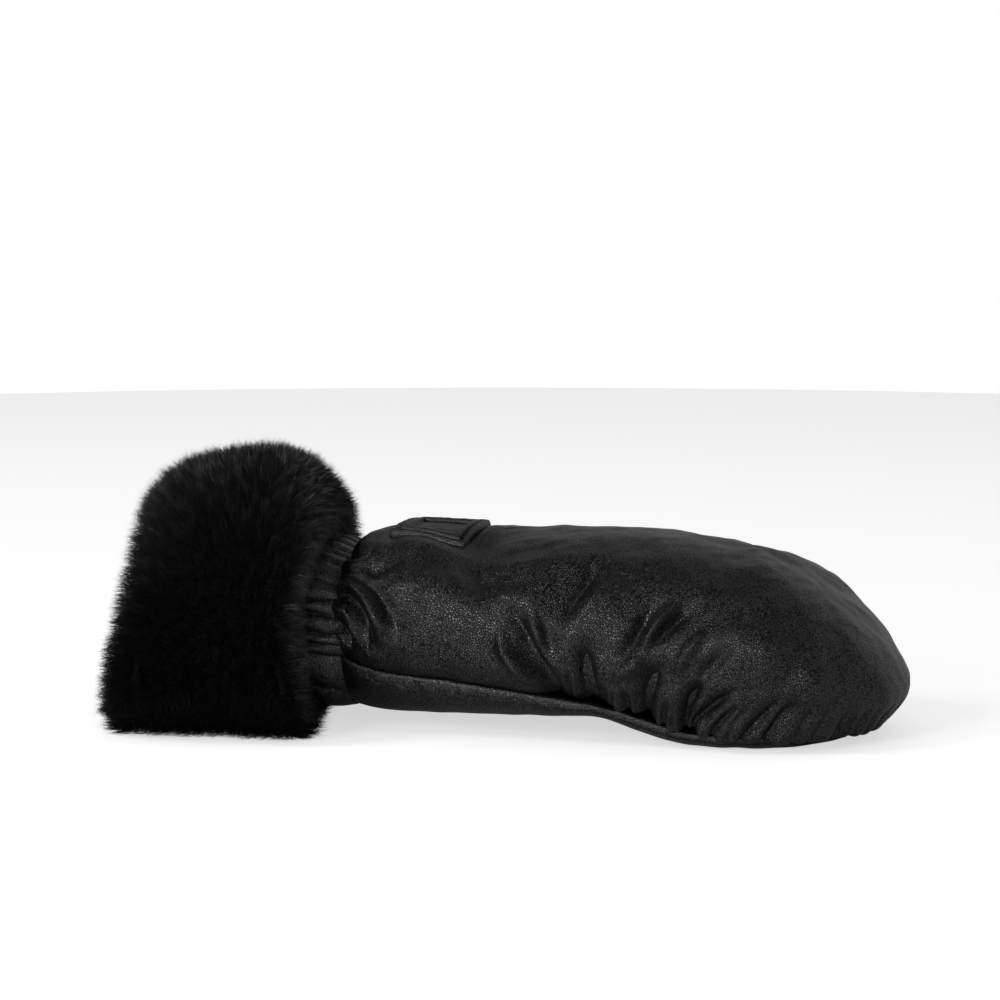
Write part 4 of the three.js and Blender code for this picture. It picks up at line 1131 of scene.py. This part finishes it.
def roll_surface(share, angle):
    """The pile's skin, by the share round the roll and the angle round the arm, and how far out it is."""
    x, out = roll_at(share)
    top, half, low = (read(CUFF, name, x) for name in ("top", "half", "low"))
    above = loop(angle, half, 2 * top * WIDEST - top, top, ROUND_TOP)
    below = loop(angle, half, low, 2 * top * WIDEST - low, SQUARE_BASE)
    outside = [np.where(np.sin(angle) >= 0, a, b) for a, b in zip(above, below)]
    inside = loop(angle, *(read(CUFF_BORE, name, x) for name in ("half", "low", "high")), BORE_SQUARE)
    y, z = (i + (o - i) * out for i, o in zip(inside, outside))
    z = np.where((out > 0.9) & (outside[1] < 4), 0, np.maximum(z, 0))
    to_wrist = smoothstep(x, PINCH["from"], PINCH["to"])
    pinch = PINCH["depth"] * swell(z, PINCH["z"], PINCH["spread"])
    x = x + SLUMP * (z - PINCH["z"]) * (1 - to_wrist) - pinch * to_wrist * out
    x = x - y * (SKEW + (RIM_SKEW * out - SKEW) * to_wrist)
    x = x - FOOT_SKEW * np.clip(y + 80, 0, 110) * (1 - smoothstep(z, 8, 40)) * to_wrist * out
    return np.stack([x, y, z], -1), out


def fur(name, root, tip, roughness, shine):
    """Pile that changes from lock to lock, with painted shade toward the ground: darker and duller there."""
    material, nodes = with_nodes(bpy.data.materials.new(name))
    shader = nodes["Principled BSDF"].inputs
    place = add(nodes, "TexCoord").outputs["Object"]
    locks, parts = add(nodes, "TexNoise", {"Scale": PILE_PATCHES, "Detail": 4}), add(nodes, "SeparateXYZ")
    foot, shade = add(nodes, "MapRange", FOOT_PAINTED_SHADE), add(nodes, "Math", operation="MULTIPLY")
    wire((place, locks.inputs["Vector"]), (place, parts.inputs[0]))
    wire((parts.outputs["Z"], foot.inputs["Value"]), (foot.outputs[0], shade.inputs[0]))
    wire((locks.outputs["Fac"], shade.inputs[1]))
    # The colour runs from root to tip by the painted shade at the foot times the lock pattern, not along
    # each hair; the shine also drops at the foot as painted shade
    between(shade.outputs[0], root, tip, shader["Base Color"])
    between(foot.outputs[0], 0.3 * shine, shine, shader["Specular IOR Level"])
    between(locks.outputs["Fac"], roughness + 0.1, roughness - 0.1, shader["Roughness"])
    return material


def cuff_grid(shares, angles):
    """The skin of the pile as a closed grid, with its normals."""
    S, A = np.meshgrid(np.arange(shares) / shares, np.arange(angles) / angles * 2 * math.pi, indexing="ij")
    points, out = roll_surface(S, A)
    faces = grid_faces(shares, angles, True, True)
    points = points.reshape(-1, 3)
    normal = outward(points, faces)
    if normal[points[:, 2].argmax(), 2] < 0:
        faces, normal = faces[:, ::-1], -normal
    return points, normal, out.ravel(), faces


def rear_trim(skin, way):
    """How far the pile stands in at half height behind."""
    half_height = smoothstep(skin[:, 2], 25, 45) * (1 - smoothstep(skin[:, 2], 74, 88))
    return 2.2 * smoothstep(-way[:, 0], 0.1, 0.7) * half_height


def under_pile(skin, way, out, depth):
    """The skin sunk under the pile: straight in, but on the mouth's inner lip forward into the roll."""
    y, z = skin[:, 1], skin[:, 2] - MOUTH["z"]
    inward = -(y * way[:, 1] + z * way[:, 2]) / np.hypot(y, z)
    lip = (smoothstep(inward, 0.15, 0.6) * (skin[:, 0] < MOUTH["front"]))[:, None]
    deep = (depth * smoothstep(out, 0.02, 0.4))[:, None]
    return skin - way * deep * (1 - lip) + np.array([1, 0, 0]) * deep * lip


def make_pile_bed():
    points, normal, out, faces = cuff_grid(*BED_STEPS)
    points = under_pile(points, normal, out, PILE_DEPTH + rear_trim(points, normal))
    points += normal * (1.2 * ripple(points, 9, 51) * smoothstep(out, 0.1, 0.4))[:, None]
    points[:, 2] = np.maximum(points[:, 2], 1.2)
    # The bed is near-black, darker than the hair: the pile's own black body with painted shade deep in the
    # pile, where the gaps between the hairs show it
    bed_shade = fur("pile_bed_shade", (0.001, 0.001, 0.001), (0.002, 0.002, 0.002), 0.85, 0.1)
    return make_piece("pile_bed", points, faces, bed_shade)


def mixed(values, corners, u, v):
    """Values at u, v between the four corners of every hair's own face."""
    a, b, c, d = (values[corners[:, k]] for k in range(4))
    return (a * (1 - u) + b * u) * (1 - v) + (d * (1 - u) + c * u) * v


def nearest_of(seeds, points):
    tree = KDTree(len(seeds))
    for k, seed in enumerate(seeds):
        tree.insert(seed, k)
    tree.balance()
    return np.array([tree.find(p)[1] for p in points.tolist()])


def make_hairs(count):
    """Root, middle and tip of every hair, the way it is turned and how thick it is."""
    chance = np.random.default_rng(77)
    points, normal, out, faces = cuff_grid(*HAIR_STEPS)
    a, b, c, d = (points[faces[:, k]] for k in range(4))
    area = np.linalg.norm(np.cross(c - a, d - b), axis=1) / 2
    wanted = area * (0.12 + 0.88 * smoothstep(out[faces[:, 0]], 0.01, 0.25))
    corners = faces[chance.choice(len(faces), count, p=wanted / wanted.sum())]
    u, v = chance.random((2, count, 1))
    skin, way, pile = (mixed(values, corners, u, v) for values in (points, normal, out[:, None]))
    way /= np.linalg.norm(way, axis=1, keepdims=True)
    skin -= way * rear_trim(skin, way)[:, None]
    root = under_pile(skin, way, pile[:, 0], PILE_DEPTH + 1)
    deep = np.linalg.norm(skin - root, axis=1)
    root[:, 2] = np.maximum(root[:, 2], 1.4)

    seeds = skin[chance.choice(count, LOCKS, replace=False)]
    lock = nearest_of(seeds, skin)
    drift = chance.normal(size=(LOCKS, 3)) * DRIFT
    # Longer at the foot, over both rims and where it hangs over the band, shorter on the front crown
    length = deep + chance.uniform(-2.0, 3.2, count) + 2.2 * chance.random(count) ** 6
    x, z = skin[:, 0], skin[:, 2]
    to_front, foot, high = smoothstep(way[:, 0], 0.2, 0.8), 1 - smoothstep(z, 4, 22), smoothstep(z, 62, 80)
    length += 3 * foot + 3 * to_front * high + 4.5 * to_front * swell(z, 34, 15)
    length += 3.5 * (1 - smoothstep(x, -140, -112)) * high
    length -= 2.5 * smoothstep(x, -106, -92) * smoothstep(z, 72, 88)

    # Each lock leans its own way and its hairs gather toward one point, a little downward all over
    lean = way + drift[lock] + chance.normal(size=(count, 3)) * LEAN
    lean[:, 0] += 0.5 * foot * to_front
    lean[:, 2] -= DOWN
    lean[:, 2] = np.where(foot > 0, np.maximum(lean[:, 2], -0.9 + 0.8 * foot), lean[:, 2])
    lean /= np.linalg.norm(lean, axis=1, keepdims=True)
    tip = root + lean * length[:, None]
    gathered = seeds[lock] + (way * 1.5 + drift[lock] * 8)
    tip += (gathered - tip) * chance.uniform(0.05, 0.5, (count, 1))
    middle = root + way * (0.5 * length)[:, None]
    middle += (tip - middle) * 0.18
    tip[:, 2] -= 0.5 * chance.random(count)

    # Against the ground the hairs spread outward and lie flat
    for row in (middle, tip):
        spread = np.maximum(1.0 - row[:, 2], 0)
        row[:, :2] += way[:, :2] * spread[:, None] * 0.8
        row[:, 2] = np.maximum(row[:, 2], 0.25 + 0.8 * chance.random(count))
    return root, middle, tip, chance.normal(size=(count, 3)), chance.uniform(0.75, 1.25, count)


def make_pile(count, pieces):
    """The hairs as flat tapered blades, one stretch round the arm to each piece."""
    root, middle, tip, spin, thick = make_hairs(count)
    order = np.argsort(np.arctan2(root[:, 2] - 40, root[:, 1]))
    hair = fur("fur_hair", (0.004, 0.004, 0.0042), (0.024, 0.024, 0.0245), 0.36, 0.6)
    for number, part in enumerate(np.array_split(order, pieces), 1):
        across = np.cross(tip[part] - root[part], spin[part])
        across *= (thick[part] / np.maximum(np.linalg.norm(across, axis=1), 1e-9))[:, None]
        foot, waist = across * HAIR_ROOT, across * HAIR_MIDDLE
        rows = [root[part] - foot, root[part] + foot, middle[part] + waist, middle[part] - waist, tip[part]]
        points = np.stack(rows, 1).reshape(-1, 3)
        first = np.arange(len(part))[:, None] * 5
        piece = make_piece(f"pile_{number}", points, [first + [0, 1, 2, 3], first + [3, 2, 4]], hair)
        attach(piece, "root")


bed = make_pile_bed()
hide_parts("fur_cuff")
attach(bed, "root")
make_pile(190000, 4)
